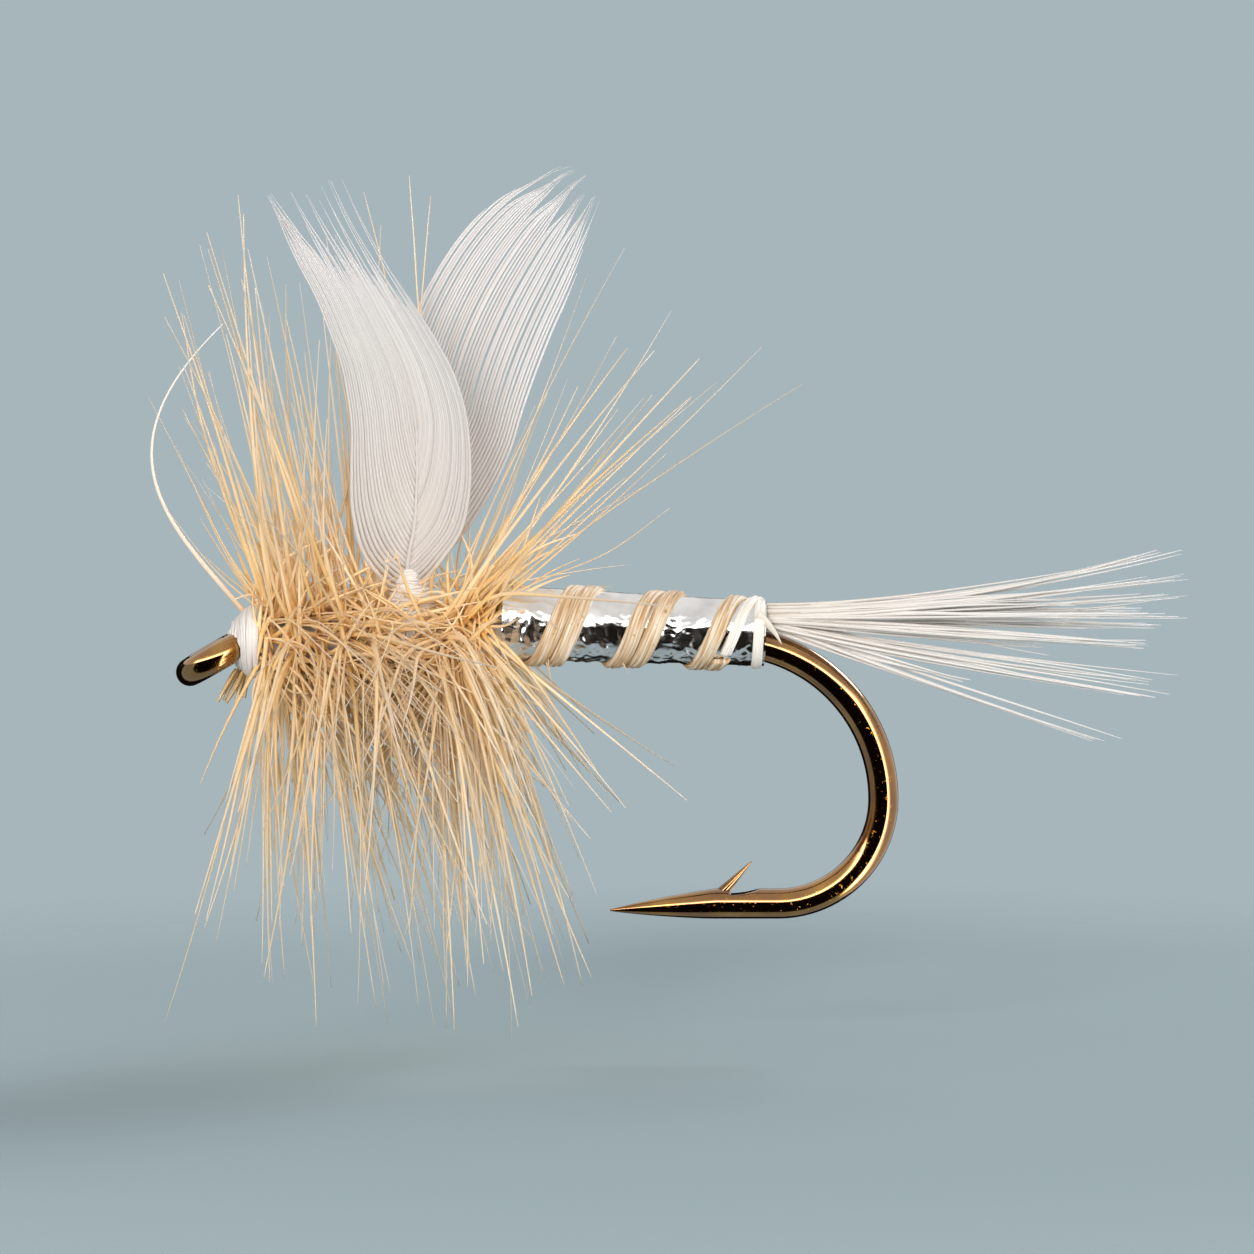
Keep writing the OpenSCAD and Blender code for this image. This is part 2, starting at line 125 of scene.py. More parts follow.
def piece(name, verts, faces, mat, slot, replaced=(), values=None):
    """A smooth mesh object from points in millimetres, riding on the fly's one body.
    values holds a number for each point under each attribute's name."""
    mesh = bpy.data.meshes.new(name)
    mesh.from_pydata((np.asarray(verts) * 0.001).tolist(), [], faces)
    mesh.materials.append(mat)
    mesh.shade_smooth()
    for key, numbers in (values or {}).items():
        mesh.attributes.new(key, "FLOAT", "POINT").data.foreach_set("value", np.float32(numbers))
    ob = bpy.data.objects.new(name, mesh)
    bpy.context.collection.objects.link(ob)
    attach(ob, "root")
    if replaced:
        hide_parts(*replaced)
    return ob


def unit(v):
    """Vectors brought to a length of 1."""
    return v / np.maximum(np.linalg.norm(v, axis=-1, keepdims=True), 1e-9)


def strands(paths, half_w, half_t, wide, sides=4):
    """Closed flat tubes along paths, an array of strand, step and place. half_w and half_t
    are half the width and thickness at each step, and wide the way that the width faces."""
    paths = np.asarray(paths, float)
    count, steps = paths.shape[:2]
    tangent = unit(np.gradient(paths, axis=1))
    wide = np.broadcast_to(wide, paths.shape)
    across = unit(wide - np.sum(wide * tangent, -1, keepdims=True) * tangent)
    up = np.cross(tangent, across)
    turn = np.arange(sides) / sides * 2 * np.pi
    half_w = np.broadcast_to(half_w, (count, steps))[..., None, None]
    half_t = np.broadcast_to(half_t, (count, steps))[..., None, None]
    rings = (paths[:, :, None] + half_w * np.cos(turn)[:, None] * across[:, :, None]
             + half_t * np.sin(turn)[:, None] * up[:, :, None])
    ids = np.arange(count * steps * sides).reshape(count, steps, sides)
    after = np.roll(ids, -1, axis=2)
    walls = np.stack([ids[:, :-1], after[:, :-1], after[:, 1:], ids[:, 1:]], -1).reshape(-1, 4)
    faces = walls.tolist() + ids[:, 0, ::-1].tolist() + ids[:, -1].tolist()
    along = np.broadcast_to(np.linspace(0, 1, steps)[None, :, None], ids.shape)
    lot = np.broadcast_to(rng.random(count)[:, None, None], ids.shape)
    return rings.reshape(-1, 3), faces, {"along": along.ravel(), "lot": lot.ravel()}


def joined(parts):
    """Several (points, faces, values) as one."""
    verts, faces, start = [], [], 0
    for v, f, _ in parts:
        faces += [[i + start for i in face] for face in f]
        verts.append(v)
        start += len(v)
    return np.concatenate(verts), faces, {
        key: np.concatenate([p[2][key] for p in parts]) for key in parts[0][2]}


# Bronzed steel: a polished metal with a brown-gold skin. Drawing and forging leave faint
# lines and pinpricks, which break up the painted dark reflections it shows.
bronze_tones = [(0.3, "#784c0a"), (0.5, "#915f12"), (0.72, "#ae7f26")]
bronze, shader = material("bronzed steel wire")
place = add(bronze, "TexCoord", {}).outputs["Object"]
patches = add(bronze, "TexNoise", {"Vector": place, "Scale": per_mm(1.1), "Detail": 4})
pricks = add(bronze, "TexNoise", {"Vector": place, "Scale": per_mm(0.07), "Detail": 2})
spots = add(bronze, "MapRange", {"Value": pricks.outputs["Fac"], "From Min": 0.66, "From Max": 0.74})
dulled = add(bronze, "MapRange", {"Value": patches.outputs["Fac"], "To Min": 0.05, "To Max": 0.14})
add(bronze, shader, {
    "Base Color": colours(bronze, patches.outputs["Fac"], bronze_tones),
    "Metallic": 1.0, "Coat Weight": 1.0, "Coat Roughness": 0.06, "Coat IOR": 1.7,
    "Roughness": dulled.outputs["Result"],
    "Normal": add(bronze, "Bump", {"Height": spots.outputs["Result"], "Strength": 0.35,
                                   "Distance": 0.00001}).outputs["Normal"],
})


def wire(path, radius, sides=40):
    """A round bar along a path, with a rounded nose at each end, in the plane Y = 0 or near it."""
    path, radius = np.asarray(path, float), np.asarray(radius, float)
    noses = np.radians([0, 25, 50, 75, 86])
    start, end = unit(path[0] - path[1]), unit(path[-1] - path[-2])
    path = np.concatenate([[path[0] + start * radius[0] * np.cos(a) * 0.6 for a in noses], path,
                           [path[-1] + end * radius[-1] * np.cos(a) * 0.6 for a in noses[::-1]]])
    radius = np.concatenate([radius[0] * np.sin(np.maximum(noses, 0.05)), radius,
                             radius[-1] * np.sin(np.maximum(noses[::-1], 0.05))])
    return strands(path[None], radius, radius, [0, 1, 0], sides)


def arc(centre, r, start, end, steps):
    """Points on an arc in the XZ plane, by angle from +X towards +Z."""
    a = np.radians(np.linspace(start, end, steps))
    return np.stack([centre[0] + r * np.cos(a), 0 * a, centre[1] + r * np.sin(a)], 1)


neck_steps, swell_steps, point_steps, tip_r = 10, 4, 60, 0.02
neck = arc((shank_from, shank_z - neck_r), neck_r, 112, 90, neck_steps)
shank = np.linspace([shank_from + 0.06, 0, shank_z], [shank_len - 0.05, 0, shank_z], 60)
bend = np.concatenate([arc((shank_len, bend_z), upper_r, 90, 0, 90),
                       arc((spear_from, bend_z), lower_r, 0, -90, 70)[1:]])
spear = np.linspace([spear_from - 0.04, 0, spear_z], [point_from + 0.05, 0, spear_z], 30)
taper = np.linspace(0, 1, point_steps)[:, None]
point = (np.array([point_from, 0, spear_z]) * (1 - taper)
         + np.array([point_from - point_len * np.cos(dip), 0, spear_z - point_len * np.sin(dip)]) * taper)
hook_path = np.concatenate([neck, shank, bend, spear, point])
hook_radius = np.full(len(hook_path), wire_r)
hook_radius[:neck_steps] = eye_wire_r
hook_radius[neck_steps:neck_steps + swell_steps] = np.linspace(eye_wire_r, wire_r, swell_steps)
hook_radius[-point_steps:] = tip_r + (wire_r - tip_r) * (1 - taper[:, 0] ** 1.25) ** 0.92
hook_verts, hook_faces, hook_values = wire(hook_path, hook_radius)

# The grinding leaves the point a little flat on top, and the chisel has cut in behind the barb
barb_x, cut_len, cut_depth = point_from + 0.3, 0.62, 0.12
on_spear = (hook_verts[:, 2] > spear_z) & (hook_verts[:, 0] > barb_x) & (
    hook_verts[:, 0] < barb_x + cut_len) & (hook_verts[:, 2] < spear_z + 0.5)
ceiling = spear_z + wire_r - cut_depth * (1 - np.clip((hook_verts[:, 0] - barb_x) / cut_len, 0, 1) ** 2)
hook_verts[on_spear, 2] = np.minimum(hook_verts[on_spear, 2], ceiling[on_spear])

# The barb is a thorn of the wire's own steel: flat underneath and ridged on top
steps = np.linspace(0, 1, 24)
barb_path = np.stack([point_from - 0.02 + 0.76 * steps, 0 * steps,
                      spear_z + 0.13 + 0.78 * steps ** 1.05], 1)
barb = strands(barb_path[None], 0.155 * (1 - steps) ** 0.8 + 0.012, 0.13 * (1 - steps) ** 0.9 + 0.012,
               [0, 1, 0], 12)

# The eye is the wire's end bent right round, with a hairline where it meets the neck
ring_steps = 120
turn = np.radians(np.linspace(37, 391, ring_steps))
outward = np.stack([np.cos(turn) * np.cos(droop), np.sin(turn), np.cos(turn) * np.sin(droop)], 1)
ring = wire(eye_r * outward, np.full(ring_steps, eye_wire_r), 36)
piece("hook", *joined([(hook_verts, hook_faces, hook_values), barb, ring])[:2], bronze,
      "bronzed_wire", ["hook"])

# ---------- thread on the shank, and the floss under the body ----------
# The bare shank is wrapped with waxed silk before anything is tied in. White floss is then
# built up into a smooth taper, over the cut ends of the tail, to carry the tinsel.
def wound(name, hex_colours, spacing, axis, roughness=0.5):
    """Thread or floss laid in close turns: a soft sheen, broken by fine ridges across the axis
    it is wound round. spacing is from one ridge to the next, in millimetres."""
    mat, shader = material(name)
    place = add(mat, "TexCoord", {}).outputs["Object"]
    turns = add(mat, "TexWave", {"Vector": place, "Scale": per_mm(spacing) / 20, "Distortion": 1.2,
                                 "Detail": 2}, bands_direction=axis)
    mottle = add(mat, "TexNoise", {"Vector": place, "Scale": per_mm(0.5), "Detail": 4})
    add(mat, shader, {
        "Base Color": colours(mat, mottle.outputs["Fac"], [(0.3, hex_colours[0]), (0.65, hex_colours[1])]),
        "Roughness": roughness, "Sheen Weight": 0.25,
        "Normal": add(mat, "Bump", {"Height": turns.outputs["Fac"], "Strength": 0.6,
                                    "Distance": 0.00001}).outputs["Normal"]})
    return mat


def finish(mat, *nodes):
    """Gives CAD nodes, which keep their own shape, a finish."""
    for name in nodes:
        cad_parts[name].material_slots[0].material = mat


white_silk = wound("waxed white silk", ("#d6cfc8", "#e4dfda"), 0.08, "X")
finish(white_silk, "shank_thread", "wing_bump", "thread_head")
finish(wound("white rayon floss", ("#d9d2c6", "#ebe6dc"), 0.05, "X"), "underbody")
finish(wound("cut ends of cream fibres", ("#d2c2a6", "#e9dfcd"), 0.07, "Y"), "tail_butts")

# ---------- tail ----------
# A slim bunch of cream cock-hackle fibres, tied in on top of the bend. They lie close for the
# first third and then part into locks, since the tips of damp fibres cling to each other.
tail_root = np.array([11.887, 0, 0.8986])
bundle_r = 0.27


def barb_colour(mat, stops, lots=0.14):
    """The colour of feather fibres from root to tip, each a little lighter or darker."""
    along = add(mat, "Attribute", {}, attribute_name="along").outputs["Fac"]
    lot = add(mat, "Attribute", {}, attribute_name="lot").outputs["Fac"]
    richness = add(mat, "MapRange", {"Value": lot, "To Min": 1.15, "To Max": 0.85})
    lightness = add(mat, "MapRange", {"Value": lot, "To Min": 1 - lots, "To Max": 1 + lots / 2})
    shade = add(mat, "HueSaturation", {
        "Color": colours(mat, along, stops), "Saturation": richness.outputs["Result"],
        "Value": lightness.outputs["Result"]})
    return shade.outputs["Color"]


def fibre(name, stops, roughness=0.42, lots=0.14):
    """A glossy feather fibre. Its barbules show as fine nicks across it, drawn coarser than
    they are so that they show."""
    mat, shader = material(name)
    nicks = add(mat, "TexNoise", {"Vector": add(mat, "TexCoord", {}).outputs["Object"],
                                  "Scale": per_mm(0.09), "Detail": 2})
    add(mat, shader, {
        "Base Color": barb_colour(mat, stops, lots), "Roughness": roughness,
        "Sheen Weight": 0.2, "Sheen Roughness": 0.4,
        "Normal": add(mat, "Bump", {"Height": nicks.outputs["Fac"], "Strength": 0.25,
                                    "Distance": 0.000008}).outputs["Normal"]})
    return mat


def ease(x):
    """0 to 1, with a gentle start and end."""
    x = np.clip(x, 0, 1)
    return x * x * (3 - 2 * x)


# Cream hackle fibres: pale and glossy, a little warmer at the root
cream = fibre("cream cock hackle", [(0, "#d9d0c5"), (0.2, "#dbd4cc"), (1, "#dad7d4")], 0.4, 0.07)
# Each lock: where it ends from the tail's root, along, across and up, its number of fibres,
# and how late it leaves the bunch
locks = [((9.05, 0.5, 1.34), 7, 1.9), ((9.0, -0.6, 0.9), 8, 1.8), ((9.05, 0.2, 0.43), 8, 1.6),
         ((9.0, -0.9, 0.05), 7, 1.4), ((8.95, 0.8, -0.22), 5, 1.2), ((9.0, -0.3, -0.56), 6, 1.1),
         ((8.98, 0.5, -1.4), 6, 0.9), ((8.65, -0.5, -1.7), 6, 0.9), ((8.2, 0.1, 0.15), 9, 1.2),
         ((7.6, 0.6, -0.25), 9, 1.1), ((7.0, -0.5, 0.35), 8, 1.2), ((7.75, -0.2, -2.65), 4, 0.95),
         ((6.05, 0.3, 0.66), 3, 1.0), ((4.5, -0.2, -1.33), 3, 0.9), ((8.2, -0.4, -0.6), 6, 1.0),
         ((6.2, 0.3, -0.7), 6, 1.0), ((6.8, -0.3, 0.05), 7, 1.1)]
share = np.linspace(0, 1, 26)
tail_paths, tail_widths = [], []
for tip, fibres, leaves in locks:
    for i in range(fibres):
        in_bunch = bundle_r * np.sqrt((i + 0.5) / fibres) * np.array([np.cos(2.4 * i), np.sin(2.4 * i)])
        root = np.array([0, in_bunch[0], 0.45 * in_bunch[1] + 0.55 * bundle_r * np.clip(tip[2] / 1.3, -1, 1)])
        end = np.array(tip) * [1 - 0.12 * rng.random(), 1, 1] + 0.045 * rng.normal(size=3)
        off = (share ** leaves)[:, None]
        path = root * (1 - off) + end * [0, 1, 1] * off
        path[:, 0] = end[0] * share
        waver = 0.05 * np.sin(share * np.pi * (1 + rng.random()) + 6 * rng.random()) * share
        path[:, 1:] += waver[:, None] * rng.normal(size=2)
        tail_paths.append(tail_root + path)
        tail_widths.append((0.058 if leaves < 1 else 0.05) * (0.8 + 0.4 * rng.random())
                           * (1 - share ** 1.7 * 0.82))
tail_widths = np.array(tail_widths)
tail_facing = rng.normal(size=(len(tail_paths), 1, 3))
v, f, values = strands(tail_paths, tail_widths, tail_widths * 0.6, tail_facing, 6)
piece("tail", v, f, cream, "tail_hackle", ["tail_fibres"], values)

# ---------- body ----------
# Flat silver tinsel in touching turns over the floss, ribbed with two strands of raffia wound
# the same way. White thread ties off the last turn, with its cut end left over the bend.
body_from, body_tilt, body_len = np.array([6.2, 0, 0.7536]), np.radians(2.376), 5.6549
floss_front, floss_rear, fit, tinsel_t, tinsel_w = 0.765, 0.65, 0.01, 0.03, 0.85
rib_w, rib_t, rib_pitch = 0.38, 0.12, 1.73
strand_step = rib_w + fit
front_end = (body_len - 1.3 * rib_w, 150)
rear_end = (front_end[0] + strand_step - rib_pitch * 170 / 360, 320)
tie_end = (front_end[0] + strand_step - rib_pitch * 4 / 360, 154)


def floss_r(s):
    """The distance from the body's axis to the top of the floss."""
    return floss_front + (floss_rear - floss_front) * s / body_len + fit


def on_body(r, degrees, s):
    """A point by its distance from the body's axis, its angle round it and its place along it."""
    a = np.radians(degrees)
    x, y, z = r * np.cos(a), r * np.sin(a), s
    c, d = np.cos(np.pi / 2 + body_tilt), np.sin(np.pi / 2 + body_tilt)
    return body_from + np.stack([x * c + z * d, y + 0 * z, -x * d + z * c], -1)


def coil(start, end, pitch, offsets, heights, seat, per_turn=110):
    """A strip wound round the body. offsets are places across it, heights the rise at each."""
    steps = int((end[0] - start) / pitch * per_turn)
    s0 = np.linspace(start, end[0], steps)
    angle = end[1] + 360 * (end[0] - s0) / pitch
    rows = []
    for i, (s, a) in enumerate(zip(s0, angle)):
        at = np.clip(s + offsets, 0, body_len)
        rows.append(on_body(seat(at) + heights(s, a, offsets), a, at))
    return np.array(rows), s0


def grid(rows, under):
    """A thin closed sheet: rows of points outside, and their undersides in reverse."""
    n, m = rows.shape[:2]
    ring = np.concatenate([rows, under[:, ::-1]], 1)
    ids = np.arange(n * 2 * m).reshape(n, 2 * m)
    after = np.roll(ids, -1, axis=1)
    walls = np.stack([ids[:-1], ids[1:], after[1:], after[:-1]], -1).reshape(-1, 4)
    return ring.reshape(-1, 3), walls.tolist() + [ids[0].tolist(), ids[-1, ::-1].tolist()]


def crease(x, y, size, seed):
    """Noise whose swells are about size apart."""
    return noise.noise(Vector((x / size, y / size, seed)))


def tinsel_rise(s, a, offsets):
    """The foil wrinkles as it is pulled round: flat facets that meet in sharp creases."""
    y, z = 0.75 * np.cos(np.radians(a)), 0.75 * np.sin(np.radians(a))
    pulled = 0.055 + 0.045 * np.cos(np.radians(a))
    lift = []
    for x in s + offsets:
        fold = abs(noise.noise(Vector((x + 0.3 * y, y, z)) / 0.42 + Vector((3, 1, 5))))
        fold += 0.6 * abs(noise.noise(Vector((x, y - 0.4 * x, z)) / 0.16))
        lift.append(max(tinsel_t + 0.012 - pulled * fold, 0.004))
    return np.array(lift)


# Silver tinsel: rolled metal foil. It mirrors the background, so the eye sees its painted bright and
# dark reflections, which break at every crease, and rubbing has dulled it here and there.
silver, shader = material("silver tinsel, a mirror-bright foil")
place = add(silver, "TexCoord", {}).outputs["Object"]
rub = add(silver, "TexNoise", {"Vector": place, "Scale": per_mm(0.6), "Detail": 5})
score = add(silver, "TexNoise", {"Vector": place, "Scale": per_mm(0.12), "Detail": 3})
rubbed = add(silver, "MapRange", {"Value": rub.outputs["Fac"], "To Min": 0.12, "To Max": 0.26})
add(silver, shader, {
    "Base Color": colours(silver, rub.outputs["Fac"], [(0.35, "#d9d8d8"), (0.65, "#f0efee")]),
    "Metallic": 1.0,
    "Roughness": rubbed.outputs["Result"],
    "Normal": add(silver, "Bump", {"Height": score.outputs["Fac"], "Strength": 0.25,
                                   "Distance": 0.00001}).outputs["Normal"]})
offsets = np.linspace(-tinsel_w / 2 - 0.009, tinsel_w / 2 + 0.009, 23)
tinsel_pitch = tinsel_w + 0.015
lap = 0.75 * tinsel_pitch
foil_end = (body_len - tinsel_w / 2 + lap, 180 - 360 * 0.75)
foil_start = tinsel_w / 2 - 0.97 * tinsel_pitch
foil, _ = coil(foil_start, foil_end, tinsel_pitch, offsets, tinsel_rise, floss_r, 160)
inner, _ = coil(foil_start, foil_end, tinsel_pitch, offsets, lambda s, a, o: 0.0 * o, floss_r, 160)
foil_ob = piece("tinsel", *grid(foil, inner), silver, "silver_tinsel", ["tinsel"])
foil_ob.data.set_sharp_from_angle(angle=np.radians(50))


def mixed_colour(mat, share, first, second):
    """The first colour, going over to the second as share rises."""
    return add(mat, "Mix", {0: share, 6: first, 7: second}, data_type="RGBA").outputs[2]


# Raffia: split palm leaf, a dull straw colour with pale and brown fibres running along it
raffia, shader = material("raffia, split palm leaf")
across = add(raffia, "Attribute", {}, attribute_name="across").outputs["Fac"]
along = add(raffia, "Attribute", {}, attribute_name="run").outputs["Fac"]
grain = add(raffia, "CombineXYZ", {
    "X": add(raffia, "Math", {0: across, 1: 9.0}, operation="MULTIPLY").outputs[0],
    "Y": add(raffia, "Math", {0: along, 1: 0.9}, operation="MULTIPLY").outputs[0]}).outputs[0]
streaks = add(raffia, "TexNoise", {"Vector": grain, "Scale": 1.0, "Detail": 4})
specks = add(raffia, "TexNoise", {"Vector": add(raffia, "TexCoord", {}).outputs["Object"],
                                  "Scale": per_mm(0.13), "Detail": 2})
straw = colours(raffia, streaks.outputs["Fac"], [
    (0.3, "#936c40"), (0.42, "#c09e75"), (0.55, "#d6c2a6"), (0.7, "#ebe1d4")])
spotted = add(raffia, "MapRange", {"Value": specks.outputs["Fac"], "From Min": 0.66, "From Max": 0.76,
                                   "To Max": 0.7})
add(raffia, shader, {
    "Base Color": mixed_colour(raffia, spotted.outputs["Result"], straw, linear("#8a5f33")),
    "Roughness": 0.5,
    "Normal": add(raffia, "Bump", {"Height": streaks.outputs["Fac"], "Strength": 0.5,
                                   "Distance": 0.00002}).outputs["Normal"]})


def raffia_rise(thick, wide, seed, ridges=7):
    """How far a split palm strand's ridged face rises at each place across it."""
    def rise(s, a, offsets):
        q = offsets / wide * 2
        body = np.sqrt(np.clip(1 - np.abs(q) ** 5, 0, 1)) * (0.86 - 0.1 * q * q)
        wave = 1 + 0.3 * crease(s, a / 360, 0.5, seed)
        split = q * np.pi * ridges / 2 + 2.4 * crease(a / 90, 0, 0.7, seed + 5)
        fibres = 0.14 * np.cos(split) + 0.06 * np.cos(2.7 * split + a / 40)
        return thick * body * wave * (0.9 + fibres) + 0.004
    return rise


def tinsel_r(s):
    """The distance from the body's axis to the top of the tinsel."""
    return floss_r(s) + tinsel_t + fit * 0.5


def ribbon(start, end, wide, thick, seed, ridges=7, pitch=rib_pitch):
    """A strand wound round the tinsel, with where each point lies across it and along it."""
    offsets = np.linspace(-wide / 2, wide / 2, 31)
    rows, s0 = coil(start, end, pitch, offsets, raffia_rise(thick, wide, seed, ridges), tinsel_r, 90)
    under, _ = coil(start, end, pitch, offsets, lambda s, a, o: 0.0 * o - 0.01, tinsel_r, 90)
    # the strand's edges wander a little as it twists
    wander = np.array([0.03 * crease(s, 0, 0.35, seed + 9) for s in s0])[:, None, None] * [1, 0, 0]
    verts, faces = grid(rows + wander, under + wander)
    run = np.repeat(s0 / rib_pitch * 5.2, 2 * len(offsets))
    side = np.tile(np.concatenate([offsets, offsets[::-1]]) / wide + 0.5, len(rows))
    return verts, faces, {"across": side, "run": run + seed * 7}


def frayed(spots, wide=0.02):
    """Fine raffia fibres that have lifted: each goes from a point on the body, out along a vector."""
    paths, t = [], np.linspace(0, 1, 10)
    for (s, degrees, lift), (dx, dy, dz) in spots:
        root = on_body(tinsel_r(s) + lift, degrees, np.array(s))
        path = root + t[:, None] * [dx, dy, dz] + (t ** 2)[:, None] * [0.04, -0.03, -0.05]
        paths.append(path)
    v, f, got = strands(paths, wide * (1 - 0.85 * t), 0.012 * (1 - 0.8 * t), [1, 0, 0.3], 4)
    return v, f, {"across": got["lot"], "run": got["lot"] * 9}


lifted = [((0.98, 330, 0.1), (0.1, -0.06, -0.42)), ((1.02, 322, 0.1), (0.02, -0.12, -0.3)),
          ((1.05, 262, 0.12), (0.28, -0.1, -0.2)), ((2.62, 325, 0.1), (0.12, -0.08, -0.24)),
          ((2.1, 184, 0.1), (0.18, -0.02, 0.05))]
v, f, values = joined([ribbon(rib_w / 2 + fit, front_end, rib_w + fit, rib_t, 1.3), frayed(lifted)])
piece("front_rib_strand", v, f, raffia, "raffia", ["rib_strand_front"], values)
v, f, values = ribbon(rib_w / 2 + fit, rear_end, rib_w + fit, rib_t, 4.4)
piece("rear_rib_strand", v, f, raffia, "raffia", ["rib_strand_rear"], values)

# White tying thread: flat and glossy here, with its plies as soft lines along it. Its end is
# cut to a point.
floss_white, shader = material("flat white tying thread")
across = add(floss_white, "Attribute", {}, attribute_name="across").outputs["Fac"]
plies = add(floss_white, "TexWave", {"Vector": add(floss_white, "CombineXYZ", {"X": across}).outputs[0],
                                     "Scale": 1.6, "Distortion": 0.6})
add(floss_white, shader, {
    "Base Color": colours(floss_white, plies.outputs["Fac"], [(0, "#ddd3c4"), (1, "#f4efe8")]),
    "Roughness": 0.4, "Sheen Weight": 0.2,
    "Normal": add(floss_white, "Bump", {"Height": plies.outputs["Fac"], "Strength": 0.4,
                                        "Distance": 0.00001}).outputs["Normal"]})
tie_w = 0.2
last_turns = ribbon(body_len - 0.22, (body_len - 0.08, 40), 0.16, 0.07, 6.1, 3, 0.07)
tying_turn = ribbon(rear_end[0] + tie_w / 2 - 0.03, tie_end, tie_w * 1.25, rib_t, 2.2, 4)
v, f, values = joined([tying_turn, last_turns])
piece("tail_tie", v, f, floss_white, "white_thread", ["tail_tie"], values)
t = np.linspace(0, 1, 16)
tag_s = body_len - tie_w
tag_root = on_body(tinsel_r(tag_s) + tie_w / 2, 235, np.array(tag_s))
tag_way = unit(np.array([0.50, 0.12, -0.62]))
tag_path = tag_root + 0.85 * t[:, None] * tag_way + (t * (1 - t))[:, None] * [0.12, -0.05, 0.14]
v, f, values = strands(tag_path[None], 0.1 * (1 - t ** 1.4) + 0.008, 0.035 * (1 - t) + 0.008,
                       [0.75, -0.3, 0.6], 8)
piece("tie_tag", v, f, floss_white, "white_thread", ["tie_tag"], {"across": values["lot"] * 0 + 0.4})

# ---------- wings ----------
# Two matched slips of white hen feather, tied upright and parted. Each barb leaves the quill
# low down, bends up beside its neighbours and ends in a tip that parts into points.
wing_x, wing_gap, post_top, spread = 4.22, 0.24, 1.8236, np.radians(15)
wing_cup = 0.28


def through(points, t):
    """A smooth curve through points, at shares of its length."""
    points = np.array(points, float)
    s = np.concatenate([[0], np.cumsum(np.linalg.norm(np.diff(points, axis=0), axis=1))])
    s /= s[-1]
    slope = np.gradient(points, s, axis=0)
    i = np.clip(np.searchsorted(s, t, side="right") - 1, 0, len(s) - 2)
    h = (s[i + 1] - s[i])[..., None]
    u = (t - s[i])[..., None] / h
    return ((2 * u ** 3 - 3 * u ** 2 + 1) * points[i] + (u ** 3 - 2 * u ** 2 + u) * h * slope[i]
            + (-2 * u ** 3 + 3 * u ** 2) * points[i + 1] + (u ** 3 - u ** 2) * h * slope[i + 1])


def even(i):
    """A number from 0 to 1 for each i, spread evenly."""
    return (i * 0.754878) % 1


def on_wing(side, x, y, h):
    """A point in a wing's own plane, where side is -1 for the near wing and 1 for the far."""
    tilt = -side * spread
    return np.stack([wing_x + side * wing_gap * 0.7 + x,
                     side * wing_gap + y * np.cos(tilt) - h * np.sin(tilt),
                     post_top + y * np.sin(tilt) + h * np.cos(tilt)], -1)


def wing(side, fore, aft, count, closed, gaps, opens, gathers, points, quill_at):
    """fore and aft are the wing's edges. Each barb leaves the quill low down and fills its own
    room: closed of it low down, and gaps of it past opens, a height at each edge. Past gathers
    the tips draw together into points, whose borders are shares of the width."""
    t = np.linspace(0, 1, 48)
    paths, widths = [], []
    for i in range(count):
        q = (i + 0.5) / count
        off = 2 * q - 1
        point = np.searchsorted(points, q) - 1
        leaves = 0.42 * (1 - abs(off) ** (1 / 1.4))
        outer = max(0, 3 - min(i, count - 1 - i)) if side > 0 else 0
        ends = 1 - 0.04 * rng.random() - 0.03 * even(point + 2) * (point > 0) - 0.055 * outer
        parting = gathers[0] + (gathers[1] - gathers[0]) * q ** 1.5
        if side < 0 and point > 0 and i % 3:
            ends = parting + 0.02 + 0.14 * even(i)
        at = leaves + (ends - leaves) * t
        inside = np.minimum(np.clip(1 - at / 0.42, 0, 1) ** 1.4, 0.985)
        lane = np.sign(off) * np.clip((abs(off) - inside) / (1 - inside), 0, 1) / 2 + 0.5
        opening = opens[0] + (opens[1] - opens[0]) * q ** 1.5
        loose = ease((at - parting) / (1 - parting))
        middle = (points[point] + points[point + 1]) / 2
        lane = lane + (middle - lane) * 0.92 * loose + 0.012 * np.sin(at * 14 + i * 2.4) * loose
        lane = lane + 0.15 / count * rng.normal() * ease((at - opening) / 0.2)
        left, right = through(fore, at), through(aft, at)
        lane_x = np.where(lane < 0.5, lane * 2 * quill_at, quill_at + (lane - 0.5) * 2 * (1 - quill_at))
        flat = left + (right - left) * lane_x[:, None]
        room = np.linalg.norm(right - left, axis=1) / count / (1 - inside)
        cup = side * wing_cup * (2 * lane - 1) ** 2 + 0.008 * (i % 2) + 0.005 * rng.normal()
        cup = cup + 0.1 * rng.normal() * loose ** 2
        paths.append(on_wing(side, flat[:, 0], cup, flat[:, 1]))
        fill = closed + (gaps - closed) * ease((at - opening) / 0.15)
        thins = 0.95 if point == 0 else 0.88
        widths.append(np.clip(room * fill * (1 - 0.6 * loose), 0.016, 0.1) / 2
                      * (1 - 0.7 * ease((t - thins) / (1 - thins))))
    facing = on_wing(side, 1.0, 0.0, 0.0) - on_wing(side, 0.0, 0.0, 0.0)
    return strands(paths, widths, np.minimum(np.array(widths) * 0.45, 0.018), facing, 6)


def quill(side, fore, aft, quill_at):
    """The slip's share of the feather's stem, thinning upwards and lost among the barbs."""
    stem_end = 0.46
    t = np.linspace(0, stem_end, 50)
    left, right = through(fore, t), through(aft, t)
    flat = left + (right - left) * quill_at
    thin = 1 - 0.75 * t / stem_end
    facing = on_wing(side, 1.0, 0.0, 0.0) - on_wing(side, 0.0, 0.0, 0.0)
    return strands(on_wing(side, flat[:, 0], 0 * t + side * 0.015, flat[:, 1])[None], 0.05 * thin,
                   0.03 * thin, facing, 8)


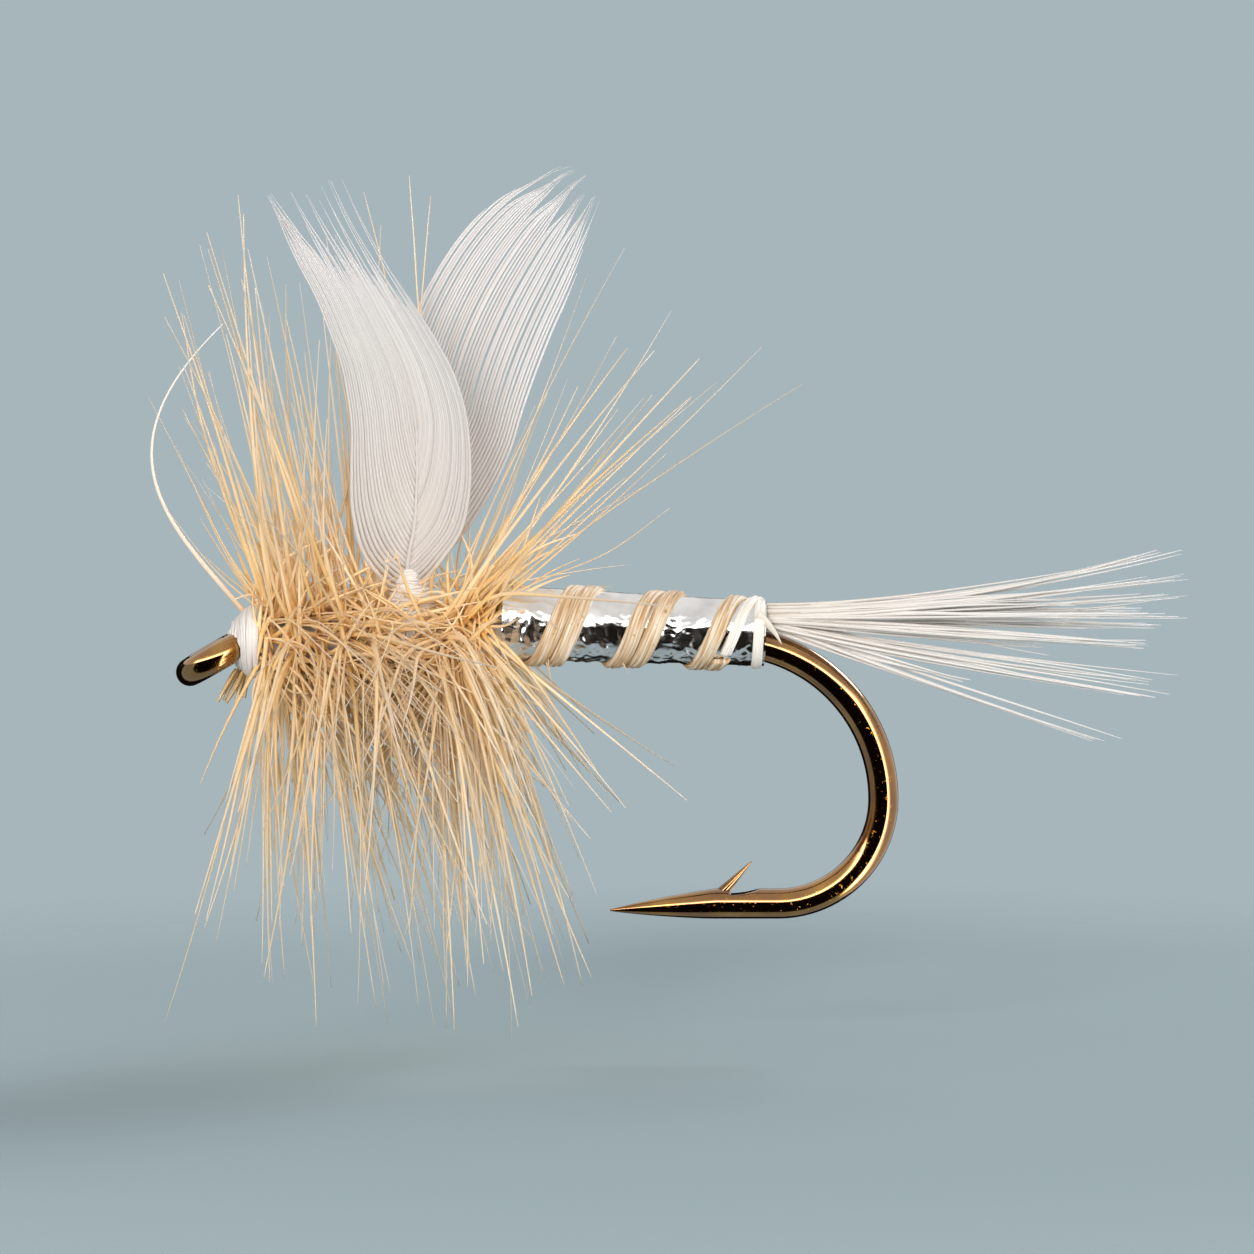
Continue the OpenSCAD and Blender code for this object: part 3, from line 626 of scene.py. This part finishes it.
# White hen feather: soft and nearly matt, so it stays an even warm white in any light
barbs_white = fibre("white hen feather", [(0, "#cbc4be"), (0.45, "#cdc8c4"), (1, "#d0cdcc")], 0.55, 0.05)
# The wings' edges from root to tip, in each wing's own plane
near_fore = [(-0.25, -0.4), (-0.52, 0.0), (-0.83, 0.5), (-1.06, 1.47), (-1.07, 2.45),
             (-1.05, 3.43), (-1.12, 4.1), (-1.23, 4.74), (-1.46, 5.45), (-1.7, 6.12),
             (-2.08, 6.9), (-2.47, 7.55), (-2.99, 8.4)]
near_aft = [(0.25, -0.4), (0.6, 0.0), (0.96, 0.5), (1.26, 0.96), (1.48, 1.9),
            (1.5, 2.8), (1.4, 3.77), (1.12, 4.67), (0.78, 5.33), (0.32, 6.12),
            (-0.2, 7.0), (-0.72, 8.0), (-1.13, 9.0)]
far_fore = [(-0.12, -0.2), (-0.45, 0.6), (-0.75, 1.8), (-0.72, 3.2), (-0.5, 4.6),
            (-0.15, 5.75), (0.32, 6.73), (0.83, 7.52), (1.29, 8.06), (1.74, 8.46),
            (2.45, 8.86), (2.83, 9.09), (3.35, 9.22)]
far_aft = [(0.12, -0.2), (0.38, 0.2), (0.77, 0.65), (1.09, 1.05), (1.42, 1.58),
           (1.74, 2.18), (2.0, 2.79), (2.19, 3.45), (2.38, 4.06), (2.9, 5.46),
           (3.16, 6.06), (3.48, 6.86), (3.87, 8.0), (4.0, 8.42)]
near_quill_at, far_quill_at = 0.55, 0.5
v, f, values = wing(-1, near_fore, near_aft, 50, 1.25, 0.8, (0.95, 0.55), (0.8, 0.6),
                    [0, 0.26, 0.38, 0.5, 0.6, 0.72, 0.86, 1], near_quill_at)
piece("near_wing", v, f, barbs_white, "wing_feather", ["near_wing_vane"], values)
v, f, values = wing(1, far_fore, far_aft, 42, 1.06, 0.84, (0.25, 0.4), (0.8, 0.84),
                    [0, 0.12, 0.36, 0.56, 0.74, 0.9, 1], far_quill_at)
piece("far_wing", v, f, barbs_white, "wing_feather", ["far_wing_vane"], values)
v, f, values = quill(-1, near_fore, near_aft, near_quill_at)
piece("near_quill", v, f, barbs_white, "wing_feather", ["near_wing_quill"], values)
v, f, values = quill(1, far_fore, far_aft, far_quill_at)
piece("far_quill", v, f, barbs_white, "wing_feather", ["far_wing_quill"], values)


def loops(axis_at, axis, profile, places, tilt, width, seed):
    """Turns of thread round an axis, each a closed loop that crosses its neighbours."""
    draw = np.random.default_rng(seed)
    steps, sides = 48, 6
    a = np.linspace(0, 2 * np.pi, steps + 1)[:-1]
    k = np.arange(sides) / sides * 2 * np.pi
    along = np.array([1, 0, 0] if axis == "X" else [0, 0, 1])
    parts = []
    for place in places:
        lean = tilt * draw.normal()
        s = place + lean * np.cos(a - 6.3 * draw.random())
        r = profile(s) + 0.01 + 0.012 * draw.random()
        if axis == "X":
            ring = np.stack([s, r * np.sin(a), -r * np.cos(a)], 1)
        else:
            ring = np.stack([r * np.cos(a), r * np.sin(a), s], 1)
        ring = np.array(axis_at) + ring
        off_axis = ring - np.array(axis_at)
        out = unit(off_axis - off_axis * along)
        tangent = unit(np.roll(ring, -1, 0) - np.roll(ring, 1, 0))
        side = np.cross(tangent, out)
        tube = ring[:, None] + width * (np.cos(k)[:, None] * side[:, None]
                                        + 0.55 * np.sin(k)[:, None] * out[:, None])
        ids = np.arange(steps * sides).reshape(steps, sides)
        nxt, aft = np.roll(ids, -1, 0), np.roll(ids, -1, 1)
        faces = np.stack([ids, aft, np.roll(nxt, -1, 1), nxt], -1).reshape(-1, 4).tolist()
        values = {"lot": np.full(ids.size, draw.random()), "along": np.full(ids.size, 0.5)}
        parts.append((tube.reshape(-1, 3), faces, values))
    return joined(parts)


# White silk: each turn shows as a pale, glossy cord
silk = fibre("white silk, single turns", [(0, "#e4ded8"), (1, "#e4ded8")], 0.45, 0.06)
bump_at, bump_wide = [3.88, 4.084, 4.356, 4.56], [0.565, 0.75, 0.75, 0.565]
v, f, values = loops((0, 0, shank_z), "X", lambda s: np.interp(s, bump_at, bump_wide),
                     np.linspace(3.93, 4.51, 11), 0.03, 0.035, 3)
piece("wing_bump_turns", v, f, silk, "white_thread", (), values)
post_at, post_wide = [0.95, 1.2, 1.5, 1.95], [0.55, 0.52, 0.4, 0.26]
rise_up = np.linspace(0.95, 1.93, 20)
core = strands(np.stack([wing_x + 0 * rise_up, 0 * rise_up, rise_up], 1)[None],
               np.interp(rise_up, post_at, post_wide), np.interp(rise_up, post_at, post_wide), [1, 0, 0], 24)
turns = loops((wing_x, 0, 0), "Z", lambda s: np.interp(s, post_at, post_wide), np.linspace(1.1, 1.9, 15),
              0.04, 0.035, 4)
v, f, values = joined([core, turns])
piece("wing_post_turns", v, f, silk, "white_thread", ["wing_post"], values)

# ---------- hackle ----------
# Two straw-coloured cock feathers wound edgewise, one in front of the wings and one behind.
# The stiff barbs stand out all round, golden at the stem, and the webby ones lie tangled there.
front_turns, rear_turns = 5, 4
front_from, front_to = 1.1096, 3.77
rear_from, rear_to = 4.67, 5.7
thread_r, stem_d = 0.445, 0.2
barb_seat = thread_r + 2 * fit + stem_d
hackle_reach, barbs_per_turn, settle = 9.4, 34, 2.6
# Straw cock hackle: stiff and glossy, deep gold at the stem and fading to a pale tip
straw_barb = fibre("straw cock hackle", [(0, "#fac371"), (0.12, "#ffdda2"), (0.35, "#f6d4a4"),
                                         (0.6, "#e6cba6"), (1, "#d2c4b0")], 0.38, 0.12)
# The stem: brown and horny. Its ridges are drawn coarser than they are.
stem_mat = wound("hackle stem", ("#a87633", "#d3a866"), 0.3, "X", 0.4)
finish(stem_mat, "front_hackle_stem", "rear_hackle_stem")


def outwards(degrees):
    """The way out from the shank at an angle round it, from straight down."""
    a = np.radians(degrees)
    return np.stack([0 * a, np.sin(a), -np.cos(a)], -1)


def mixed(i):
    """Another number from 0 to 1 for each i, spread evenly."""
    return (i * 0.56984) % 1


def swept(place, seats, angles, ends, slants, tip_slants, lengths, steps=18):
    """Paths of barbs that leave the stem one way and settle into another. seats, angles and
    ends are measured round the shank, slants along it."""
    t = np.linspace(0, 1, steps)
    turned = ease(t * lengths[:, None] / settle)
    swing = 7 * np.stack([np.sin(1.7 * lengths), np.sin(2.9 * lengths)])[:, :, None] * t
    round_by = np.radians(angles[:, None] + (ends - angles)[:, None] * turned + swing[0])
    along_by = np.radians(slants[:, None] + (tip_slants - slants)[:, None] * turned + swing[1])
    way = np.stack([np.sin(along_by), np.cos(along_by) * np.sin(round_by),
                    -np.cos(along_by) * np.cos(round_by)], -1)
    root = np.stack([place, 0 * place, shank_z + 0 * place], -1) + (barb_seat - 0.06) * outwards(seats)
    stride = (way[:, 1:] + way[:, :-1]) / 2 * (lengths / (steps - 1))[:, None, None]
    return root[:, None] + np.concatenate([0 * way[:, :1], np.cumsum(stride, 1)], 1)


def behind_wing(path, side):
    """Which of a path's points lie beside a wing, where no barb crosses in front of it."""
    fore, aft = (near_fore, near_aft) if side < 0 else (far_fore, far_aft)
    up = (path[:, 2] - post_top) / np.cos(spread)
    x = path[:, 0] - wing_x - side * wing_gap * 0.7
    left = np.interp(up, [p[1] for p in fore], [p[0] for p in fore])
    right = np.interp(up, [p[1] for p in aft], [p[0] for p in aft])
    return (up > 0.1) & (x > left - 0.1) & (x < right + 0.1)


def over_bare(path):
    """Whether a path lies across the eye or the tinsel, which are left bare."""
    x, z = path[:, 0], path[:, 2]
    on_eye = (x - 0.05 * np.abs(path[:, 1]) < 0.75) & (np.abs(z) < 1.1)
    on_tinsel = (x > 6.8) & (np.abs(z - 0.5) < 0.95)
    return (on_eye | on_tinsel).any()


def hackle_turn(i, start, stop, turns, lean, top_lean, crossing, over, rising, seed):
    """One turn of barbs, rooted where the model roots them but leaning more freely, with finer
    ones between. Those at the sides fall or rise, because a barb is too limp to stand straight
    out. crossing is the share of the finer ones that lie across the others, back or forward as
    over is 1 or -1. rising is the share of the finer ones that are there above the shank, where
    the main ones are thinned by half as much, and none is left across a wing, the eye or the
    tinsel."""
    draw = np.random.default_rng(seed)
    between, steepest = 3, 48
    step = 360 / barbs_per_turn
    n = np.arange(barbs_per_turn * between)
    main = n % between == 0
    j = n / between
    k = barbs_per_turn * i + j.astype(int)
    count = len(n)
    place = start + (stop - start) * (i - 1 + j / barbs_per_turn) / turns
    angle = 360 + 0.382 * step * i - step * (j + np.where(main, 0, 0.5 * draw.normal(size=count)))
    angle = (angle + 180) % 360 - 180
    up = -np.cos(np.radians(angle))
    from_foot, side = np.abs(angle), np.sign(angle)
    falls = from_foot < np.where(main, (100 if over > 0 else 112) + 40 * draw.random(count),
                                 105 + 60 * draw.random(count))
    share = draw.random(count)
    ends = np.where(falls, from_foot * (np.where(main, 0.55, 0.2) + 0.25 * share),
                    180 - (180 - from_foot) * (np.where(main, 0.7, 0.45) + 0.25 * share))
    slant = lean + (top_lean - lean) * (1 + up) / 2 + 8 * (mixed(k) - 0.5)
    slant = slant + np.where(falls, 6, np.where(main, 5, 18)) * draw.normal(size=count)
    slant = np.minimum(slant, steepest)
    place = place - over * np.where(main, 0, 0.25) * draw.random(count)
    first = slant + np.where(falls, 14, 8) * draw.normal(size=count)
    crosses = falls & ~main & (draw.random(count) < crossing)
    ends = np.where(crosses, from_foot * (0.5 + 0.25 * share), ends)
    first = np.where(crosses, over * (44 + 12 * draw.normal(size=count)), first)
    slant = slant + np.where(crosses, over * (14 + 24 * draw.random(count)), 0)
    length = hackle_reach * (0.6 + 0.4 * even(k)) * (0.94 + 0.06 * up)
    length = length * np.where(main, 1, np.where(falls, 0.36, 0.3) + 0.4 * draw.random(count))
    turned = angle + (side * ends - angle) * np.where(main, 0.15, np.where(crosses, 0.45, 0.55))
    paths = swept(place, angle, turned, side * ends, first, slant, length)
    widths = np.where(main, 0.058, 0.044 + 0.014 * draw.random(count))[:, None] * (
        1 - 0.8 * np.linspace(0, 1, paths.shape[1]))
    kept = np.array([fell or not (behind_wing(path, s) | behind_wing(path, 1)).any()
                     for path, s, fell in zip(paths, side, falls)])
    kept &= falls | (draw.random(count) < np.where(main, 0.5 + 0.5 * rising, rising))
    kept &= ~np.array([over_bare(path) for path in paths])
    facing = draw.normal(size=(count, 1, 3)) + [0, 0.4, 0]
    return strands(paths[kept], widths[kept], widths[kept] * 0.42, facing[kept], 6)


def web(start, stop, count, lean, upper, seed):
    """Softer barbs near the stem, which curl across each other at all slants. upper is the
    share of them that lie on top."""
    draw = np.random.default_rng(seed)
    on_top = draw.random(count) < upper
    angle = np.where(on_top, 180 + 85 * (2 * draw.random(count) - 1), 360 * draw.random(count) - 180)
    slant = np.clip(lean + 35 * draw.normal(size=count), -75, 75)
    way = angle + np.where(draw.random(count) < 0.5, -1, 1) * (50 + 40 * draw.random(count))
    steps = 10
    place = start + (stop - start) * draw.random(count)
    ends = way + 40 * draw.normal(size=count)
    tip_slant = np.clip(lean + 0.6 * (slant - lean) + 30 * draw.normal(size=count), -70, 70)
    length = np.where(on_top, 0.8, 1.2) + np.where(on_top, 1.1, 1.8) * draw.random(count)
    paths = swept(place, angle, way, ends, slant, tip_slant, length, steps)
    widths = (0.052 + 0.02 * draw.random(count))[:, None] * (1 - 0.85 * np.linspace(0, 1, steps) ** 2)
    kept = ~np.array([over_bare(path) for path in paths])
    facing = draw.normal(size=(count, 1, 3))
    v, f, values = strands(paths[kept], widths[kept], widths[kept] * 0.45, facing[kept], 5)
    return v, f, {"along": values["along"] * 0.4, "lot": values["lot"]}


# Barbs that have got away from the rest, as points along X and Z and the side they end on
astray = {
    ("front", 1): [([(1.25, 0.9), (0.9, 2.2), (0.0, 5.4), (-0.95, 8.3)], -1.2),
                   ([(1.2, 1.0), (0.6, 2.4), (-0.35, 5.2), (-0.75, 7.4)], 0.9),
                   ([(1.15, 0.2), (0.7, -0.6), (0.2, -1.6), (-0.2, -2.55)], -1.5),
                   ([(1.2, 0.1), (0.9, -2.2), (0.3, -4.4), (-0.1, -5.6)], -1.9)],
    ("front", 5): [([(3.7, 0.9), (4.4, 4.5), (4.3, 8.6), (4.17, 10.35)], 1.1),
                   ([(3.7, 0.9), (4.2, 4.5), (4.45, 7.9), (4.62, 9.9)], 1.6),
                   ([(3.7, 0.9), (4.1, 5.0), (3.7, 8.0), (3.2, 10.0)], 0.8),
                   ([(2.6, 1.3), (4.1, -0.9), (5.3, -2.7), (6.1, -4.3)], -2.2),
                   ([(2.2, 1.2), (3.6, -1.2), (4.9, -3.6), (6.0, -5.6)], -2.0),
                   ([(2.9, 1.3), (4.9, -0.3), (6.6, -1.9), (8.1, -3.6)], -2.6)],
    ("rear", 4): [([(5.5, 1.0), (6.6, 0.0), (7.5, -1.2), (8.4, -2.5)], -1.6),
                  ([(5.5, 0.8), (6.9, -0.3), (8.5, -1.55), (10.15, -2.85)], -1.9),
                  ([(5.5, 0.2), (6.3, -0.8), (7.0, -1.8), (7.65, -3.05)], -1.2),
                  ([(5.5, 0.9), (7.0, 1.7), (8.5, 2.35), (9.8, 3.3)], -0.9),
                  ([(5.6, 0.3), (6.6, -2.1), (7.2, -4.0), (7.7, -5.3)], 1.2)]}


def loose(hackle, i):
    """The astray barbs of one turn."""
    parts = []
    for spots, side in astray.get((hackle, i), []):
        t = np.linspace(0, 1, 24)
        path = through([(x, 0, z) for x, z in spots], t)
        path[:, 1] = np.sign(side) * 0.4 + side * t
        parts.append(strands(path[None], 0.054 * (1 - 0.8 * t), 0.024 * (1 - 0.7 * t), [1, 0.4, 0.3], 6))
    return parts


for i in range(1, front_turns + 1):
    share = (i - 1) / (front_turns - 1)
    pitch = (front_to - front_from) / front_turns
    turn = hackle_turn(i, front_from, front_to, front_turns, lean=16 * share, top_lean=-12 + 8 * share,
                       crossing=0.65, over=1, rising=1.0, seed=100 + i)
    tangle = web(front_from + pitch * (i - 1), front_from + pitch * i,
                 50 + 50 * (i == front_turns), 15 + 30 * share, 0.2 + 0.4 * share, 200 + i)
    first = [web(0.93, front_from, 50, -10, 0.4, 600)] if i == 1 else []
    v, f, values = joined([turn, tangle] + first + loose("front", i))
    piece(f"front_hackle_{i}", v, f, straw_barb, "straw_hackle", [f"front_hackle_turn_{i}"], values)
for i in range(1, rear_turns + 1):
    share = (i - 1) / (rear_turns - 1)
    pitch = (rear_to - rear_from) / rear_turns
    turn = hackle_turn(i, rear_from, rear_to, rear_turns, lean=2 + 4 * share, top_lean=26 + 20 * share,
                       crossing=0.5 - 0.3 * share, over=-1, rising=0.15, seed=300 + i)
    tangle = web(rear_from + pitch * (i - 1), rear_from + pitch * i,
                 30 + 50 * (i == 1), -40 + 25 * share, 0.5 - 0.3 * share, 400 + i)
    last = [web(rear_to, 6.15, 70, 25, 0.45, 500)] if i == rear_turns else []
    v, f, values = joined([turn, tangle] + last + loose("rear", i))
    piece(f"rear_hackle_{i}", v, f, straw_barb, "straw_hackle", [f"rear_hackle_turn_{i}"], values)

# The feather's long tip, left loose, curls up in front of the head
t = np.linspace(0, 1, 40)[:, None]
curl_h, curl_reach, head_r = 6.2, 3.35, 0.75
bows = [np.array(p) * curl_h for p in ([0, 0], [-0.444 * curl_reach / curl_h, 0.287],
                                       [-curl_reach / curl_h, 0.547], [-0.02, 1.02])]
bent = ((1 - t) ** 3 * bows[0] + 3 * t * (1 - t) ** 2 * bows[1]
        + 3 * t ** 2 * (1 - t) * bows[2] + t ** 3 * bows[3])
root = np.array([0.5796, 0, shank_z + head_r - 0.1 + fit + 0.065])
curl_path = root + np.stack([bent[:, 0], 0 * bent[:, 0], bent[:, 1]], 1)
curl_path = np.concatenate([[curl_path[0] + [0.2, 0, -0.24]], curl_path[:-1]])
v, f, values = strands(curl_path[None], 0.062 * (1 - 0.8 * t[:, 0]), 0.03 * (1 - 0.7 * t[:, 0]),
                       [1, 0, 0.4], 8)
# The bare tip: a single glossy line, straw at the head and nearly white at its end
bare_tip = fibre("bare hackle tip", [(0, "#d9b489"), (0.15, "#e8d3ba"), (1, "#ece4da")], 0.35)
piece("hackle_curl", v, f, bare_tip, "straw_hackle", ["hackle_curl"], values)

# The trimmed butts under the head are split into flat, ragged strips
butt_barb = fibre("trimmed hackle butts", [(0, "#d3a86c"), (0.5, "#dfbd8b"), (1, "#e6cba4")], 0.5, 0.2)
paths = []
t = np.linspace(0, 1, 8)
draw = np.random.default_rng(9)
strips = [(-0.42, -0.62), (-0.38, -0.66), (-0.45, -0.55), (-0.3, -0.8), (-0.34, -0.84),
          (-0.26, -0.72), (-0.2, -0.6)]
for n, (dx, dz) in enumerate(strips):
    root = np.array([0.5 + 0.05 * n, -0.2 + 0.07 * (n % 3), -0.22])
    straight = t[:, None] * [dx, 0.06 * draw.normal(), dz]
    curled = (t ** 2)[:, None] * [0.04 * draw.normal(), 0, 0.05 * draw.normal()]
    paths.append(root + straight + curled)
v, f, values = strands(paths, 0.045 + 0.01 * np.sin(t * 5), 0.018, [1, 0.3, -0.5], 4)
piece("hackle_butts", v, f, butt_barb, "straw_hackle", ["hackle_butts"], values)

# ---------- head ----------
# The tying silk, built up behind the eye into a small cone and finished with a whip knot.
head_at, head_wide = [0.2996, 0.65, 0.79, 1.0], [0.28, 0.65, 0.75, 0.72]
v, f, values = loops((0, 0, shank_z), "X", lambda s: np.interp(s, head_at, head_wide),
                     np.linspace(0.42, 0.96, 26), 0.06, 0.04, 5)
piece("head_turns", v, f, silk, "white_thread", (), values)

# ---------- floor, light and background ----------
pale, pale_lit = "#a1b2b7", "#a7b6bb"
floor_r, rim_steps = 0.04, 128
# Pale matt paper: it takes a soft shadow and fades into the background at its edge
floor_mat, floor_shader = material("pale paper floor")
place = add(floor_mat, "TexCoord", {}).outputs["Object"]
fibres = add(floor_mat, "TexNoise", {"Vector": place, "Scale": per_mm(2.5), "Detail": 5})
reach = add(floor_mat, "VectorMath", {0: place}, operation="LENGTH").outputs["Value"]
fade = add(floor_mat, "MapRange", {"Value": reach, "From Min": 0.4 * floor_r, "From Max": 0.95 * floor_r,
                                   "To Min": 1.0, "To Max": 0.0}, interpolation_type="SMOOTHSTEP")
add(floor_mat, floor_shader, {"Base Color": linear(pale), "Roughness": 0.9, "Specular IOR Level": 0.0,
    "Alpha": fade.outputs["Result"],
    "Normal": add(floor_mat, "Bump", {"Height": fibres.outputs["Fac"], "Strength": 0.1,
                                      "Distance": 0.00002}).outputs["Normal"]})
mesh = bpy.data.meshes.new("floor")
rim = [(floor_r * np.cos(a), floor_r * np.sin(a), 0)
       for a in np.linspace(0, 2 * np.pi, rim_steps + 1)[:-1]]
mesh.from_pydata(rim, [], [range(rim_steps)])
mesh.materials.append(floor_mat)
floor = bpy.data.objects.new("floor", mesh)
floor.location = (aim.x, 0, cad_box[0][2] - 0.0002)
bpy.context.collection.objects.link(floor)
# The floor is left out of reflections, so the painted dark patches of the background show there instead.
floor.visible_glossy = False

# Sun lamps. The key and fill show in no reflection, so highlights on metal come from the painted strip light;
# the rim lamp does show.
for name, towards, strength, angle, mirrored in [
        ("key", (-0.3, -0.9, 0.3), 1.7, 20, False), ("fill", (0.35, -0.9, 0.0), 1.5, 60, False),
        ("rim", (0.5, 0.65, 0.6), 1.2, 30, True)]:
    lamp = bpy.data.lights.new(name, "SUN")
    lamp.energy, lamp.angle = strength, np.radians(angle)
    ob = bpy.data.objects.new(name, lamp)
    ob.rotation_euler = Vector(towards).to_track_quat("Z", "Y").to_euler()
    ob.visible_glossy = mirrored
    bpy.context.collection.objects.link(ob)

# The room is an even pale grey. Only reflections show more: that grey at the sides, a painted bright
# ceiling and a painted strip light that light nothing, and painted dark patches low down in front and behind,
# where nothing stands. These painted reflections give bright wire its edges.
world = bpy.data.worlds.new("studio")
bpy.context.scene.world = world
world.use_nodes = True
way = add(world, "SeparateXYZ", {"Vector": add(world, "TexCoord", {}).outputs["Generated"]})


def from_to(value, start, stop):
    """0 below start and 1 above stop, or the other way about."""
    return add(world, "MapRange", {"Value": value, "From Min": start, "From Max": stop},
               interpolation_type="SMOOTHSTEP").outputs["Result"]


sideways = add(world, "Math", {0: way.outputs["Y"]}, operation="ABSOLUTE").outputs[0]
above = add(world, "Math", {0: way.outputs["Z"], 1: 6.0, 2: -1.7}, operation="MULTIPLY_ADD").outputs[0]
right = add(world, "Math", {0: way.outputs["X"], 1: 5.0, 2: -2.5}, operation="MULTIPLY_ADD").outputs[0]
past_painted_card = add(world, "Math", {0: above, 1: right}, operation="MAXIMUM").outputs[0]
# painted strip light: a glow seen only in reflections, which lights nothing
painted_strip_glow = 1.0
for value, start, stop in [(past_painted_card, -0.35, 0.35), (past_painted_card, 2.6, 0.35), (way.outputs["Y"], 0.0, -0.3)]:
    painted_strip_glow = add(world, "Math", {0: painted_strip_glow, 1: from_to(value, start, stop)}, operation="MULTIPLY").outputs[0]
painted_strip_glow = add(world, "Math", {0: painted_strip_glow, 1: 4.0}, operation="POWER").outputs[0]
# painted dark reflection: near-black patches in front and behind, where nothing stands
mirrored = mixed_colour(world, from_to(sideways, 0.35, 0.5), linear(pale_lit), linear("#15110d"))
# painted bright ceiling, seen only in reflections
mirrored = mixed_colour(world, from_to(past_painted_card, -0.1, 0.1), mirrored, linear("#f0eeeb"))
# painted strip light, twelve times white, seen only in reflections
mirrored = mixed_colour(world, painted_strip_glow, mirrored, (12.0, 11.8, 11.4, 1))
ray = add(world, "LightPath", {}).outputs
# glossy rays alone see these painted reflections; diffuse rays see an even grey
lit = mixed_colour(world, ray["Is Glossy Ray"], (0.5, 0.5, 0.5, 1), mirrored)
straight = add(world, "Math", {0: ray["Is Camera Ray"], 1: ray["Is Transmission Ray"]}, operation="MAXIMUM")
add(world, world.node_tree.nodes["Background"],
    {"Color": mixed_colour(world, straight.outputs[0], lit, linear(pale_lit))})
bpy.context.scene.view_settings.view_transform = "Standard"
